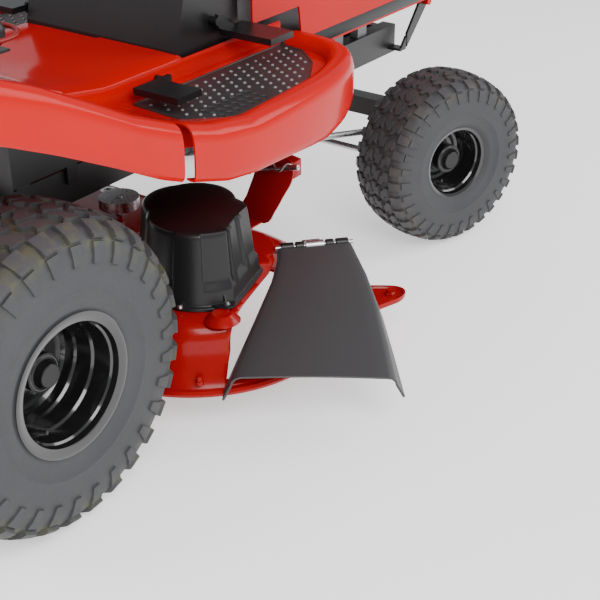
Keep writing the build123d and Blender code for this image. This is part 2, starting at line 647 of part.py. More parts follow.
with BuildPart() as cover_left:
    rod((*spindle_left_at, flange_z), (*spindle_left_at, 292), 96)
    rod((*spindle_left_at, flange_z - 1), (*spindle_left_at, 289), 93, Mode.SUBTRACT)
keep("belt_cover_left", cover_left)

idler_at = (560, -60)
with BuildPart() as idler:
    rod((*idler_at, housing_top + 2), (*idler_at, housing_top + 22), 40)
    rod((*idler_at, deck_top_z + 9), (*idler_at, housing_top + 23), 8)
    slab([(555, -70), (575, -50), (640, 32), (622, 46)], deck_top_z + 6, deck_top_z + 12)
    rod((*idler_pivot, deck_top_z + 6), (*idler_pivot, deck_top_z + 12), 16)
    rod((*idler_pivot, deck_top_z + 5), (*idler_pivot, deck_top_z + 13), 8 + run_gap, Mode.SUBTRACT)
keep("idler_arm", idler)

hanger_x = 728
with BuildPart() as hanger:
    front_plate([(-225, deck_top_z), (-305, deck_top_z), (-345, 262), (-372, 306), (-372, 344), (-330, 350),
                 (-292, 330), (-262, 262)], hanger_x - 24, hanger_x - 19)
    block((hanger_x - 60, -300, deck_top_z), (hanger_x - 24, -230, deck_top_z + 4))
    front_plate([(-345, 300), (-372, 306), (-372, 344), (-330, 350)], hanger_x - 19, hanger_x + 8)
keep("deck_hanger", hanger)

with BuildPart() as hanger_pin:
    rod((hanger_x - 30, -268, 306), (hanger_x - 30, -392, 340), 6)
    rod((hanger_x - 30, -268, 306), (hanger_x - 30, -262, 304), 6)
keep("hanger_pin", hanger_pin)

hinge_axis = hinge_mid + Vector(0, 0, 6)
knuckle_r = 9
with BuildPart() as hinge_rod:
    rod(hinge_axis - hinge_way * 74, hinge_axis + hinge_way * 74, hinge_rod_r)
    for place in (0,):
        rod(hinge_mid + hinge_way * (place - 17) + Vector(0, 0, 6),
            hinge_mid + hinge_way * (place + 17) + Vector(0, 0, 6), knuckle_r)
    with BuildSketch(Plane(origin=hinge_mid + Vector(0, 0, deck_top_z - hinge_z), x_dir=hinge_way,
                           z_dir=(0, 0, 1))):
        with Locations((0, 14)):
            Rectangle(34, 40)
    extrude(amount=6.5)
keep("chute_hinge_rod", hinge_rod)

chute_outline = [(-64, -6), (64, -6), (74, -60), (69, -1.16 * chute_slant), (-208, -0.99 * chute_slant),
                 (-86, -60)]
chute_fold = 26
with BuildPart() as chute:
    with BuildSketch(Plane(origin=hinge_mid + Vector(0, 0, 6), x_dir=hinge_way, z_dir=chute_plane.z_dir)):
        with BuildLine():
            Polyline(*chute_outline, close=True)
        make_face()
    extrude(amount=-chute_sheet)
    for top, foot in ((chute_outline[5], chute_outline[4]), (chute_outline[2], chute_outline[3])):
        inward = chute_sheet if foot[0] < 0 else -chute_sheet
        with BuildSketch(Plane(origin=hinge_axis, x_dir=hinge_way, z_dir=chute_plane.z_dir)):
            with BuildLine():
                Polyline(top, foot, (foot[0] + inward, foot[1]), (top[0] + inward, top[1]), close=True)
            make_face()
        extrude(amount=-chute_fold)
    for sign in (-1, 1):
        near = hinge_mid + hinge_way * (sign * 42) + Vector(0, 0, 6)
        rod(near - hinge_way * 22, near + hinge_way * 22, knuckle_r)
        rod(near - hinge_way * 23, near + hinge_way * 23, hinge_rod_r + run_gap, Mode.SUBTRACT)
    middle = hinge_mid + Vector(0, 0, 6)
    rod(middle - hinge_way * 19, middle + hinge_way * 19, knuckle_r + 2, Mode.SUBTRACT)
    rod(middle - hinge_way * 75, middle + hinge_way * 75, hinge_rod_r + run_gap, Mode.SUBTRACT)
keep("discharge_chute", chute)

# ---- Hood, grille, lamps and dash ----
hood_half = 218
hood_profile = [(792, 560), (792, 838), (900, 858), (1120, 852), (1330, 812), (1450, 752), (1490, 680),
                (1496, 560), (1492, 470), (1470, 462), (960, 462), (945, 560)]

with BuildPart() as hood:
    side_plate(hood_profile, -hood_half, hood_half)
    fillet(hood.edges().filter_by(lambda e: abs(e.center().Y) > hood_half - 1 and e.center().Z > 700),
           radius=28)
    with BuildPart(mode=Mode.PRIVATE) as room:
        side_plate([(780, 450), (780, 828), (900, 848), (1118, 842), (1324, 803), (1441, 745), (1480, 677),
                    (1486, 560), (1484, 450)], -hood_half + skin, hood_half - skin)
    add(room.part, mode=Mode.SUBTRACT)
    block((1440, -150, 500), (1500, 150, 640), Mode.SUBTRACT)
    for sign in (-1, 1):
        block((1430, sign * 140 - 52, 655), (1510, sign * 140 + 52, 712), Mode.SUBTRACT)
        rod((hood_hinge[0], sign * 190, hood_hinge[1]), (hood_hinge[0], sign * 213, hood_hinge[1]), 9)
        block((hood_hinge[0] - 9, min(sign * 206, sign * 213), hood_hinge[1]),
              (hood_hinge[0] + 9, max(sign * 206, sign * 213), hood_hinge[1] + 26))
keep("hood", hood)

with BuildPart() as grille:
    block((1474, -149, 501), (1480, 149, 639))
    for y in range(-130, 131, 20):
        block((1478, y - 4, 506), (1489, y + 4, 634))
keep("grille", grille)

with BuildPart() as headlights:
    for sign in (-1, 1):
        block((1446, sign * 140 - 51, 656), (1466, sign * 140 + 51, 711))
keep("headlights", headlights)

tower_half = 190
tower_x1 = 782
pedal_pivot = (700, 585)
pedal_pin_r = 8
with BuildPart() as tower:
    outline = [(600, 548), (648, 720), (712, 862), (tower_x1, 884), (tower_x1, 416), (600, 416)]
    side_plate(outline, -tower_half, tower_half)
    inner = [(605, 548), (653, 719), (716, 857), (tower_x1 - 5, 878), (tower_x1 - 5, 415), (605, 415)]
    side_plate(inner, -tower_half + skin, tower_half - skin, Mode.SUBTRACT)
    rod(column_foot, column_top, 16, Mode.SUBTRACT)
    rod((pedal_pivot[0], -tower_half - 1, pedal_pivot[1]), (pedal_pivot[0], tower_half + 1, pedal_pivot[1]),
        pedal_pin_r + run_gap, Mode.SUBTRACT)
    rod((690, -120, 780), (640, -120, 808), 9.05, Mode.SUBTRACT)
keep("dash_tower", tower)

with BuildPart() as tank:
    block((850, -160, 600), (985, 160, 770))
    rod((915, -90, 770), (915, -90, 800), 34)
keep("fuel_tank", tank)

with BuildPart() as pto:
    rod((700, -120, 774.4), (655, -120, 799.6), 9)
    rod((655, -120, 799.6), (630, -120, 813.6), 21)
keep("pto_knob", pto)

# ---- Seat ----
with BuildPart() as seat_pan:
    block((-120, -150, 634), (246, 150, 638))
    for sign in (-1, 1):
        y0, y1 = sorted((sign * 92, sign * 98))
        block((seat_hinge[0] - 10, y0, seat_hinge[1] - 9), (seat_hinge[0] + 8, y1, 634))
        rod((-60, sign * 110, platform_z + 1), (-60, sign * 110, 634), 18)
    rod((seat_hinge[0], -107, seat_hinge[1]), (seat_hinge[0], 107, seat_hinge[1]), seat_pin_r)
keep("seat_pan", seat_pan)

with BuildPart() as seat:
    block((-125, -225, 640), (262, 225, 722))
    fillet(seat.edges().filter_by(Axis.Z), radius=50)
    side_plate([(-150, 660), (-60, 660), (-95, 1005), (-150, 1020), (-198, 1000), (-190, 800)], -215, 215)
    fillet(seat.edges().filter_by(Axis.Y).group_by(Axis.Z)[-1], radius=20)
keep("seat_cushion", seat)

# ---- Pedals and lift ----
def make_pedal(name, sign, pad_x, pad_z, pad_y, thick):
    """A foot pedal whose cross shaft turns in the side of the dash tower."""
    inner_y, outer_y = pad_y
    arm = sorted((sign * (tower_half + 11), sign * (tower_half + 19)))
    with BuildPart() as pedal:
        rod((pedal_pivot[0], sign * (tower_half - 22), pedal_pivot[1]),
            (pedal_pivot[0], sign * (tower_half + 19), pedal_pivot[1]), pedal_pin_r)
        middle = (pad_x[0] + pad_x[1]) / 2
        side_plate([(pedal_pivot[0], pedal_pivot[1] + 12), (pedal_pivot[0], pedal_pivot[1] - 12),
                    (middle, pad_z - 6), (middle, pad_z + 14)], *arm)
        y0, y1 = sorted((sign * inner_y, sign * outer_y))
        block((pad_x[0], y0, pad_z), (pad_x[1], y1, pad_z + thick))
    keep(name, pedal)


make_pedal("brake_pedal", 1, (575, 655), 560, (201, 310), 12)
make_pedal("forward_pedal", -1, (712, 782), 555, (201, 320), 12)

with BuildPart() as reverse:
    rod((reverse_pivot[0], -178, reverse_pivot[1]), (reverse_pivot[0], -222, reverse_pivot[1]),
        reverse_pin_r)
    side_plate([(reverse_pivot[0] + 8, reverse_pivot[1] + 9), (reverse_pivot[0] + 8, reverse_pivot[1] - 9),
                (480, 516), (480, 528)], -232, -222)
    block((444, -323, 520), (508, -224, 532))
keep("reverse_pedal", reverse)

with BuildPart() as lever:
    rod((lever_pivot[0], -rail_y - 60, lever_pivot[1]), (lever_pivot[0], lever_y + 4, lever_pivot[1]),
        lift_pin_r)
    side_plate([(92, 458), (118, 458), (112, 800), (100, 800)], lever_y - 4, lever_y + 4)
    rod((106, lever_y, 790), (106, lever_y, 870), 17)
    rod((lever_pivot[0], -172, lever_pivot[1]), (lever_pivot[0], -rail_y - 61, lever_pivot[1]), lift_pin_r)
keep("lift_lever", lever)

# ---- Export about the middle of the footprint ----
boxes = [piece.bounding_box() for piece in pieces.values()]
middle_x = (min(b.min.X for b in boxes) + max(b.max.X for b in boxes)) / 2
middle_y = (min(b.min.Y for b in boxes) + max(b.max.Y for b in boxes)) / 2
to_origin = Vector(-middle_x, -middle_y, -min(b.min.Z for b in boxes))

for name, piece in pieces.items():
    placed = piece.moved(Location(to_origin))
    placed.label = name
    export_step(placed, f"parts/{name}.step")
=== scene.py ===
from math import cos, hypot, pi, radians, sin, tau

import bmesh
import bpy
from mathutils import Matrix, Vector


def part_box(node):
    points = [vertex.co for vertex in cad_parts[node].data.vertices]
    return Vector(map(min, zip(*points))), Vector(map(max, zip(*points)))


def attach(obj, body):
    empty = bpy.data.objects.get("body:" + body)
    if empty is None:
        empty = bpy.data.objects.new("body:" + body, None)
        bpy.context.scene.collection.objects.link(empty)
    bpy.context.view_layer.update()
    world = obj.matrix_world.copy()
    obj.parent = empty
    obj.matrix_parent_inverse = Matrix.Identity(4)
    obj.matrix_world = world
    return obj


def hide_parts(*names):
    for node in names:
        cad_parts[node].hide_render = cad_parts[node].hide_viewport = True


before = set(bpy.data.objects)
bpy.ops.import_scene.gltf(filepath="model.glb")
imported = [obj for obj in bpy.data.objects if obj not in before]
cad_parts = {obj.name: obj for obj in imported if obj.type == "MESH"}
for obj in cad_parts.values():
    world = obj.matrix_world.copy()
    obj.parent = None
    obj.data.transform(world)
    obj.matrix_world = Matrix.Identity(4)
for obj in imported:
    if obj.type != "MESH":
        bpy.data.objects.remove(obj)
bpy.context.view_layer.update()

MM = 0.001


def middle(node):
    """The centre of a CAD node's box."""
    low, high = (Vector(corner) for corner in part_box(node))
    return (low + high) / 2


# The machine's own zero: under the rear axle, on the centre line, on the ground.
AXLE = Vector((middle("rear_tyre_right").x, middle("frame_rails").y, 0))


def at(x, y, z):
    """A place given in millimetres from the machine's zero."""
    return AXLE + Vector((x, y, z)) * MM


# ---- Mesh helpers ----
def new_object(name, verts, faces, material, smooth=True):
    mesh = bpy.data.meshes.new(name)
    mesh.from_pydata([tuple(v) for v in verts], [], faces)
    mesh.update()
    made = bpy.data.objects.new(name, mesh)
    bpy.context.collection.objects.link(made)
    mesh.materials.append(material)
    if smooth:
        mesh.polygons.foreach_set("use_smooth", [True] * len(mesh.polygons))
    return made


def tidy_normals(thing):
    """Make every face point outward and drop doubled vertices."""
    work = bmesh.new()
    work.from_mesh(thing.data)
    bmesh.ops.remove_doubles(work, verts=work.verts, dist=1e-6)
    bmesh.ops.recalc_face_normals(work, faces=work.faces)
    work.to_mesh(thing.data)
    work.free()


def apply_modifiers(thing):
    """Bake every modifier of a piece into its mesh."""
    bpy.context.view_layer.update()
    seen = thing.evaluated_get(bpy.context.evaluated_depsgraph_get())
    mesh = bpy.data.meshes.new_from_object(seen)
    thing.modifiers.clear()
    thing.data = mesh


def sharpen(thing, degrees=35):
    """Smooth shading that keeps the creases sharper than an angle."""
    work = bmesh.new()
    work.from_mesh(thing.data)
    for edge in work.edges:
        if len(edge.link_faces) == 2:
            edge.smooth = edge.calc_face_angle(0) < radians(degrees)
    for face in work.faces:
        face.smooth = True
    work.to_mesh(thing.data)
    work.free()


def loft(name, rings, material, closed=False, cap=False, thickness=0, subdivide=0):
    """A skin through rows of points, all with the same count."""
    verts = [p for ring in rings for p in ring]
    count = len(rings[0])
    across = count if closed else count - 1
    faces = []
    for r in range(len(rings) - 1):
        for c in range(across):
            a, b = r * count + c, r * count + (c + 1) % count
            faces.append((a, b, b + count, a + count))
    if cap:
        faces.append(tuple(range(count))[::-1])
        faces.append(tuple((len(rings) - 1) * count + c for c in range(count)))
    made = new_object(name, verts, faces, material)
    if subdivide:
        smoother = made.modifiers.new("round", "SUBSURF")
        smoother.levels = smoother.render_levels = subdivide
    if thickness:
        shell = made.modifiers.new("wall", "SOLIDIFY")
        shell.thickness = thickness * MM
        shell.offset = -1
    if subdivide or thickness:
        apply_modifiers(made)
    tidy_normals(made)
    sharpen(made)
    return made


def turned(name, profile, centre, outward, material, steps=96, crease=35):
    """A turned shape: (along, radius) points in mm spun about an axle."""
    out = Vector(outward).normalized()
    up = Vector((0, 0, 1)) if abs(out.z) < 0.9 else Vector((1, 0, 0))
    side = out.cross(up).normalized()
    up = side.cross(out)
    rings = []
    for k in range(steps):
        way = up * cos(tau * k / steps) + side * sin(tau * k / steps)
        rings.append([centre + (out * u + way * v) * MM for u, v in profile])
    rings.append(rings[0])
    made = loft(name, rings, material)
    sharpen(made, crease)
    return made


def box_mesh(name, low, high, material, bevel=2.0, segments=3):
    """A block between two corners in mm from the machine's zero, with rounded edges."""
    (x0, y0, z0), (x1, y1, z1) = low, high
    corners = [at(x, y, z) for z in (z0, z1) for x, y in ((x0, y0), (x1, y0), (x1, y1), (x0, y1))]
    faces = [(3, 2, 1, 0), (4, 5, 6, 7), (0, 1, 5, 4), (1, 2, 6, 5), (2, 3, 7, 6), (3, 0, 4, 7)]
    made = new_object(name, corners, faces, material)
    rounding = made.modifiers.new("edges", "BEVEL")
    rounding.width = bevel * MM
    rounding.segments = segments
    apply_modifiers(made)
    sharpen(made, 40)
    return made


def pipe(name, points, radius, material, steps=16):
    """A round bar through points in mm from the machine's zero, with closed ends."""
    path = [at(*p) for p in points]
    rings = []
    for k, p in enumerate(path):
        way = (path[min(k + 1, len(path) - 1)] - path[max(k - 1, 0)]).normalized()
        side = way.orthogonal().normalized() if k == 0 else side_way(way, side)
        other = way.cross(side)
        rings.append([p + (side * cos(tau * c / steps) + other * sin(tau * c / steps)) * radius * MM
                      for c in range(steps)])
    return loft(name, rings, material, closed=True, cap=True)


def side_way(way, previous):
    """The last ring's side direction carried on to a new direction of travel."""
    return (previous - way * previous.dot(way)).normalized()


def join(name, pieces):
    """Join several meshes into one piece."""
    work = bmesh.new()
    materials = []
    for piece in pieces:
        offset = {}
        for index, material in enumerate(piece.data.materials):
            if material not in materials:
                materials.append(material)
            offset[index] = materials.index(material)
        before = len(work.faces)
        work.from_mesh(piece.data)
        work.faces.ensure_lookup_table()
        for face in work.faces[before:]:
            face.material_index = offset.get(face.material_index, 0)
        bpy.data.objects.remove(piece)
    mesh = bpy.data.meshes.new(name)
    work.to_mesh(mesh)
    work.free()
    made = bpy.data.objects.new(name, mesh)
    bpy.context.collection.objects.link(made)
    for material in materials:
        mesh.materials.append(material)
    return made


def smooth_line(points, steps):
    """A Catmull-Rom curve through plan points, sampled evenly in its parameter."""
    padded = [points[0]] + list(points) + [points[-1]]
    line = []
    for i in range(1, len(padded) - 2):
        p0, p1, p2, p3 = padded[i - 1:i + 3]
        for k in range(steps):
            t = k / steps
            line.append(tuple(0.5 * (2 * b + (c - a) * t + (2 * a - 5 * b + 4 * c - d) * t * t
                                     + (3 * b - a - 3 * c + d) * t ** 3)
                              for a, b, c, d in zip(p0, p1, p2, p3)))
    line.append(tuple(points[-1]))
    return line


def along(points, x):
    """Height or offset at x, read from a line of (x, value) points."""
    if x <= points[0][0]:
        return points[0][1]
    for (x0, v0), (x1, v1) in zip(points, points[1:]):
        if x <= x1:
            return v0 + (v1 - v0) * (x - x0) / (x1 - x0)
    return points[-1][1]


# ---- Materials ----
def surface(name, colour, tint, rough, bump=0.1, grain=60.0, metal=0.0, coat=0.0, patch=6.0,
            dust=None, dust_amount=0.0, spec=0.5):
    """A painted, moulded or metal finish: two close colours in soft patches, a fine grain in its
    relief and gloss, and dust where a piece's "groove" attribute is high."""
    made = bpy.data.materials.new(name)
    made.use_nodes = True
    nodes, links = made.node_tree.nodes, made.node_tree.links
    shader = nodes["Principled BSDF"]
    shader.inputs["Metallic"].default_value = metal
    shader.inputs["Coat Weight"].default_value = coat
    shader.inputs["Coat Roughness"].default_value = 0.04
    shader.inputs["Specular IOR Level"].default_value = spec
    place = nodes.new("ShaderNodeTexCoord")
    patches = nodes.new("ShaderNodeTexNoise")
    patches.inputs["Scale"].default_value = patch
    patches.inputs["Detail"].default_value = 4
    links.new(place.outputs["Object"], patches.inputs["Vector"])
    mix = nodes.new("ShaderNodeMix")
    mix.data_type = "RGBA"
    mix.inputs[6].default_value = (*colour, 1)
    mix.inputs[7].default_value = (*tint, 1)
    links.new(patches.outputs["Fac"], mix.inputs[0])
    colour_out = mix.outputs[2]
    fine = nodes.new("ShaderNodeTexNoise")
    fine.inputs["Scale"].default_value = grain
    fine.inputs["Detail"].default_value = 6
    links.new(place.outputs["Object"], fine.inputs["Vector"])
    gloss = nodes.new("ShaderNodeMapRange")
    gloss.inputs["To Min"].default_value = rough[0]
    gloss.inputs["To Max"].default_value = rough[1]
    links.new(fine.outputs["Fac"], gloss.inputs["Value"])
    links.new(gloss.outputs["Result"], shader.inputs["Roughness"])
    if dust:
        groove = nodes.new("ShaderNodeAttribute")
        groove.attribute_name = "groove"
        speckle = nodes.new("ShaderNodeTexNoise")
        speckle.inputs["Scale"].default_value = 38
        speckle.inputs["Detail"].default_value = 8
        links.new(place.outputs["Object"], speckle.inputs["Vector"])
        limit = nodes.new("ShaderNodeMapRange")
        limit.inputs["From Min"].default_value = 0.45
        limit.inputs["From Max"].default_value = 0.68
        limit.inputs["To Max"].default_value = dust_amount
        links.new(speckle.outputs["Fac"], limit.inputs["Value"])
        amount = nodes.new("ShaderNodeMath")
        amount.operation = "MULTIPLY"
        links.new(groove.outputs["Fac"], amount.inputs[0])
        links.new(limit.outputs["Result"], amount.inputs[1])
        dusty = nodes.new("ShaderNodeMix")
        dusty.data_type = "RGBA"
        links.new(amount.outputs["Value"], dusty.inputs[0])
        links.new(colour_out, dusty.inputs[6])
        dusty.inputs[7].default_value = (*dust, 1)
        colour_out = dusty.outputs[2]
    links.new(colour_out, shader.inputs["Base Color"])
    relief = nodes.new("ShaderNodeBump")
    relief.inputs["Strength"].default_value = bump
    relief.inputs["Distance"].default_value = 0.0006
    links.new(fine.outputs["Fac"], relief.inputs["Height"])
    links.new(relief.outputs["Normal"], shader.inputs["Normal"])
    return made


RED = surface("red_enamel", (0.58, 0.0, 0.0), (0.53, 0.0, 0.0), (0.14, 0.2), 0.03, 180, coat=0.05,
              spec=0.12)
DECK_RED = surface("deck_enamel", (0.36, 0.0, 0.0), (0.3, 0.0, 0.0), (0.14, 0.22), 0.12, 45,
                   coat=0.1, patch=14, spec=0.2)
BLACK_GLOSS = surface("black_enamel", (0.006, 0.006, 0.006), (0.012, 0.012, 0.012), (0.12, 0.22), 0.05,
                      120, coat=0.8)
BLACK_SATIN = surface("black_moulding", (0.007, 0.007, 0.0075), (0.011, 0.011, 0.012), (0.28, 0.4),
                      0.25, 420,
                      spec=0.4)
BLACK_PAINT = surface("black_powder_coat", (0.012, 0.012, 0.012), (0.02, 0.02, 0.02), (0.28, 0.45), 0.3,
                      260)
GREY_SATIN = surface("grey_moulding", (0.036, 0.036, 0.038), (0.046, 0.046, 0.048), (0.4, 0.5), 0.3, 500)
RUBBER = surface("tyre_rubber", (0.035, 0.036, 0.04), (0.055, 0.056, 0.06), (0.55, 0.75), 0.45, 160,
                 patch=12, dust=(0.10, 0.085, 0.06), dust_amount=0.5)
MOSSY = surface("mossy_tyre_rubber", (0.035, 0.036, 0.04), (0.055, 0.056, 0.06), (0.55, 0.75), 0.45, 160,
                patch=12, dust=(0.10, 0.10, 0.04), dust_amount=0.6)
MAT = surface("mat_rubber", (0.022, 0.022, 0.024), (0.034, 0.034, 0.036), (0.4, 0.55), 0.35, 300)
STUD = surface("worn_studs", (0.28, 0.28, 0.28), (0.2, 0.2, 0.2), (0.35, 0.5), 0.2, 300)
ZINC = surface("zinc_plate", (0.62, 0.62, 0.63), (0.5, 0.5, 0.51), (0.2, 0.38), 0.2, 200, metal=1.0)
CAST = surface("cast_alloy", (0.3, 0.3, 0.31), (0.2, 0.2, 0.21), (0.45, 0.65), 0.8, 220, metal=0.7)
TANK = surface("milky_plastic", (0.62, 0.62, 0.56), (0.52, 0.52, 0.47), (0.35, 0.5), 0.15, 90)
VINYL = surface("seat_vinyl", (0.014, 0.014, 0.015), (0.022, 0.022, 0.023), (0.36, 0.5), 0.7, 650)
PIPING = surface("seat_piping", (0.3, 0.003, 0.003), (0.22, 0.003, 0.003), (0.4, 0.5), 0.3, 500)
LAMP = surface("lamp_lens", (0.75, 0.77, 0.8), (0.62, 0.64, 0.68), (0.08, 0.16), 0.1, 60, coat=1.0)

# ---- Wheels ----
def section_point(curve, s):
    """Point and outward normal on a tyre section at a distance s from the tread's middle line."""
    side = 1 if s >= 0 else -1
    left = abs(s)
    for (u0, v0), (u1, v1) in zip(curve, curve[1:]):
        run = hypot(u1 - u0, v1 - v0)
        if left <= run:
            t = left / run
            return ((side * (u0 + (u1 - u0) * t), v0 + (v1 - v0) * t),
                    (side * (v0 - v1) / run, (u1 - u0) / run))
        left -= run
    (u0, v0), (u1, v1) = curve[-2:]
    run = hypot(u1 - u0, v1 - v0)
    return (side * u1, v1), (side * (v0 - v1) / run, (u1 - u0) / run)


def tyre(name, node, body, outward, rim_r, flange_u, pitches, moss):
    """A turf tyre: a carcass with sidewall rings, zigzag tread blocks and long shoulder lugs."""
    low, high = (Vector(c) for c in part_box(node))
    centre = (low + high) / 2
    out = Vector(outward).normalized()
    up = Vector((0, 0, 1))
    fore = up.cross(out)
    radius = (high.z - low.z) / 2 / MM
    half = TYRE_HALF[node[:5]]
    lug = 0.033 * radius
    base = radius - lug
    rise = base - rim_r
    bead = flange_u - 4
    outer = [(0, base), (0.3 * half, base - 1), (0.6 * half, base - 5), (0.8 * half, base - 0.07 * rise),
             (0.93 * half, base - 0.17 * rise), (0.985 * half, base - 0.32 * rise),
             (half - 1.5, base - 0.48 * rise), (0.985 * half, base - 0.62 * rise)]
    ring = [(0.985 * half, rim_r + 0.36 * rise), (0.99 * half, rim_r + 0.34 * rise),
            (0.99 * half, rim_r + 0.325 * rise), (0.965 * half, rim_r + 0.305 * rise),
            (0.93 * half, rim_r + 0.18 * rise), (0.925 * half, rim_r + 0.165 * rise),
            (0.925 * half, rim_r + 0.14 * rise), (0.90 * half, rim_r + 0.11 * rise),
            (bead + 2.5, rim_r + 0.03 * rise), (bead - 1, rim_r + 1), (bead - 9, rim_r + 0.4)]
    half_line = outer + ring
    full = [(-u, v) for u, v in reversed(half_line)] + half_line[1:]
    carcass = turned(name + "_carcass", full, centre, out, RUBBER, 128, 60)
    blocks, faces, tops = [], [], []

    def place(s, t, lift):
        (u, v), (nu, nv) = section_point(outer, s)
        u, v = u + nu * lift, v + nv * lift
        angle = t / radius
        way = up * cos(angle) + fore * sin(angle)
        return centre + (out * u + way * v) * MM

    def block(stations, lift):
        """A raised block; stations are (s, near edge t, far edge t) across the tread."""
        first = len(blocks)
        draft = 1.3
        for i, (s, t0, t1) in enumerate(stations):
            inset = draft if i == 0 else -draft if i == len(stations) - 1 else 0
            inset = inset if stations[0][0] < stations[-1][0] else -inset
            blocks.extend([place(s, t0, -1.5), place(s + inset, t0 + draft, lift),
                           place(s + inset, t1 - draft, lift), place(s, t1, -1.5)])
            tops.extend([1.0, 0.0, 0.0, 1.0])
        for i in range(len(stations) - 1):
            a, b = first + 4 * i, first + 4 * (i + 1)
            faces.extend([(a + k, a + k + 1, b + k + 1, b + k) for k in range(3)])
        last = first + 4 * (len(stations) - 1)
        faces.append((first + 3, first + 2, first + 1, first))
        faces.append((last, last + 1, last + 2, last + 3))

    pitch = tau * radius / pitches
    rows = 4
    span = 0.66 * half
    width = 2 * span / rows
    for k in range(pitches):
        for row in range(rows):
            s0 = -span + row * width + 1.5
            t = (k + (0.5 if row % 2 else 0)) * pitch
            bend = 0.30 * pitch * (1 if row % 2 else -1)
            long = 0.60 * pitch
            block([(s0 + f * (width - 3), t + bend * b, t + bend * b + long)
                   for f, b in ((0, 0), (0.28, 0.15), (0.55, 0.95), (0.8, 1.0), (1, 0.7))], lug)
        for side in (-1, 1):
            t = (k + (0.25 if side > 0 else 0.75)) * pitch
            edge = sum(hypot(b[0] - a[0], b[1] - a[1]) for a, b in zip(outer[:5], outer[1:5]))
            block([(side * (span + 2), t, t + 0.62 * pitch),
                   (side * (0.35 * span + 0.65 * edge), t + 0.02 * pitch, t + 0.60 * pitch),
                   (side * edge, t + 0.04 * pitch, t + 0.58 * pitch)], lug * 0.98)
            block([(side * (edge + 1), t + 0.04 * pitch, t + 0.58 * pitch),
                   (side * (edge + 0.10 * rise), t + 0.06 * pitch, t + 0.54 * pitch),
                   (side * (edge + 0.24 * rise), t + 0.10 * pitch, t + 0.46 * pitch)], lug * 0.45)
    tread = new_object(name + "_tread", blocks, faces, RUBBER)
    tidy_normals(tread)
    sharpen(tread, 30)
    made = join(name, [carcass, tread])
    made.data.materials[0] = MOSSY if moss else RUBBER
    groove = made.data.attributes.new("groove", "FLOAT", "POINT")
    for index, vertex in enumerate(made.data.vertices):
        away = vertex.co - centre
        across = away.dot(out) / MM
        reach = (away - out * (across * MM)).length / MM
        deep = max(0.0, min(1.0, (radius - 1.5 - reach) / lug))
        shoulder = max(0.0, min(1.0, (reach - radius + 0.42 * rise) / (0.2 * rise)))
        groove.data[index].value = deep * shoulder
    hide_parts(node)
    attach(made, body)
    return made


TYRE_HALF = {"rear_": 101.5, "front": 76.0}


def rim(name, node, body, outward, flange_r, flange_u, disc_u, bore, steps_in):
    """A deep-dish pressed wheel with stepped seats, a hub and a valve stem."""
    centre = middle(node)
    out = Vector(outward).normalized()
    barrel = flange_r - 11
    profile = [(-flange_u + 1, flange_r), (-flange_u, flange_r - 3), (-flange_u + 4, barrel),
               (-0.5 * flange_u, barrel - 1), (-0.3 * flange_u, barrel - 9), (0.3 * flange_u, barrel - 9),
               (0.5 * flange_u, barrel - 1), (flange_u - 4, barrel), (flange_u - 2, flange_r - 4),
               (flange_u - 2, flange_r - 1), (flange_u - 0.5, flange_r), (flange_u, flange_r - 1.5),
               (flange_u - 0.5, flange_r - 7), (flange_u - 4, barrel - 5), (flange_u - 14, barrel - 7),
               (flange_u - 17, barrel - 10)]
    profile += steps_in(barrel, disc_u)
    profile += [(disc_u, 37), (disc_u + 3, 33), (disc_u + 20, 31.5), (HUB_END[node[:5]] - 2, 30.5),
                (HUB_END[node[:5]], 28), (HUB_END[node[:5]], bore)]
    dish = turned(name + "_dish", profile, centre, out, BLACK_GLOSS, 96, 28)
    up = Vector((0, 0, 1))
    lean = (up * cos(2.2) + out.cross(up) * sin(2.2)).normalized()
    foot = centre + (out * (flange_u - 22) + lean * (barrel - 14)) * MM
    tip = centre + (out * (flange_u - 2) + lean * (barrel - 24)) * MM
    stem = turned(name + "_valve", [(0, 0), (0, 5.5), (10, 5), (12, 3.6), (26, 3.4), (26.5, 0)], foot,
                  tip - foot, BLACK_SATIN, 20)
    made = join(name, [dish, stem])
    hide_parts(node)
    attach(made, body)


HUB_END = {"rear_": 34, "front": 36}


def rear_steps(barrel, disc_u):
    return [(48, barrel - 12), (44, barrel - 15), (16, barrel - 17), (12, barrel - 20),
            (disc_u + 8, barrel - 22), (disc_u + 2, barrel - 27), (disc_u, barrel - 34), (disc_u + 3, 56),
            (disc_u + 3, 44)]


def front_steps(barrel, disc_u):
    return [(28, barrel - 11), (24, barrel - 13), (disc_u + 8, barrel - 15), (disc_u + 2, barrel - 19),
            (disc_u, barrel - 25), (disc_u + 2, 44)]


def hub_cap(name, node, body, outward, hub_end, face, tip_r):
    """A moulded cap on the hub's end."""
    centre = middle(node[:node.index("hub")] + "rim" + node[node.index("_cap") + 4:])
    profile = [(hub_end - 8, 31.2), (hub_end - 1, 31.4), (hub_end, 27), (hub_end + 1, 23.5),
               (face - 3.5, tip_r + 1.5), (face - 1, tip_r + 1), (face, tip_r - 0.5), (face - 0.3,
                                                                                       tip_r * 0.6),
               (face, 0)]
    cap = turned(name + "_cap", profile, centre, outward, BLACK_SATIN, 64, 30)
    made = join(name, [cap])
    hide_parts(node)
    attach(made, body)


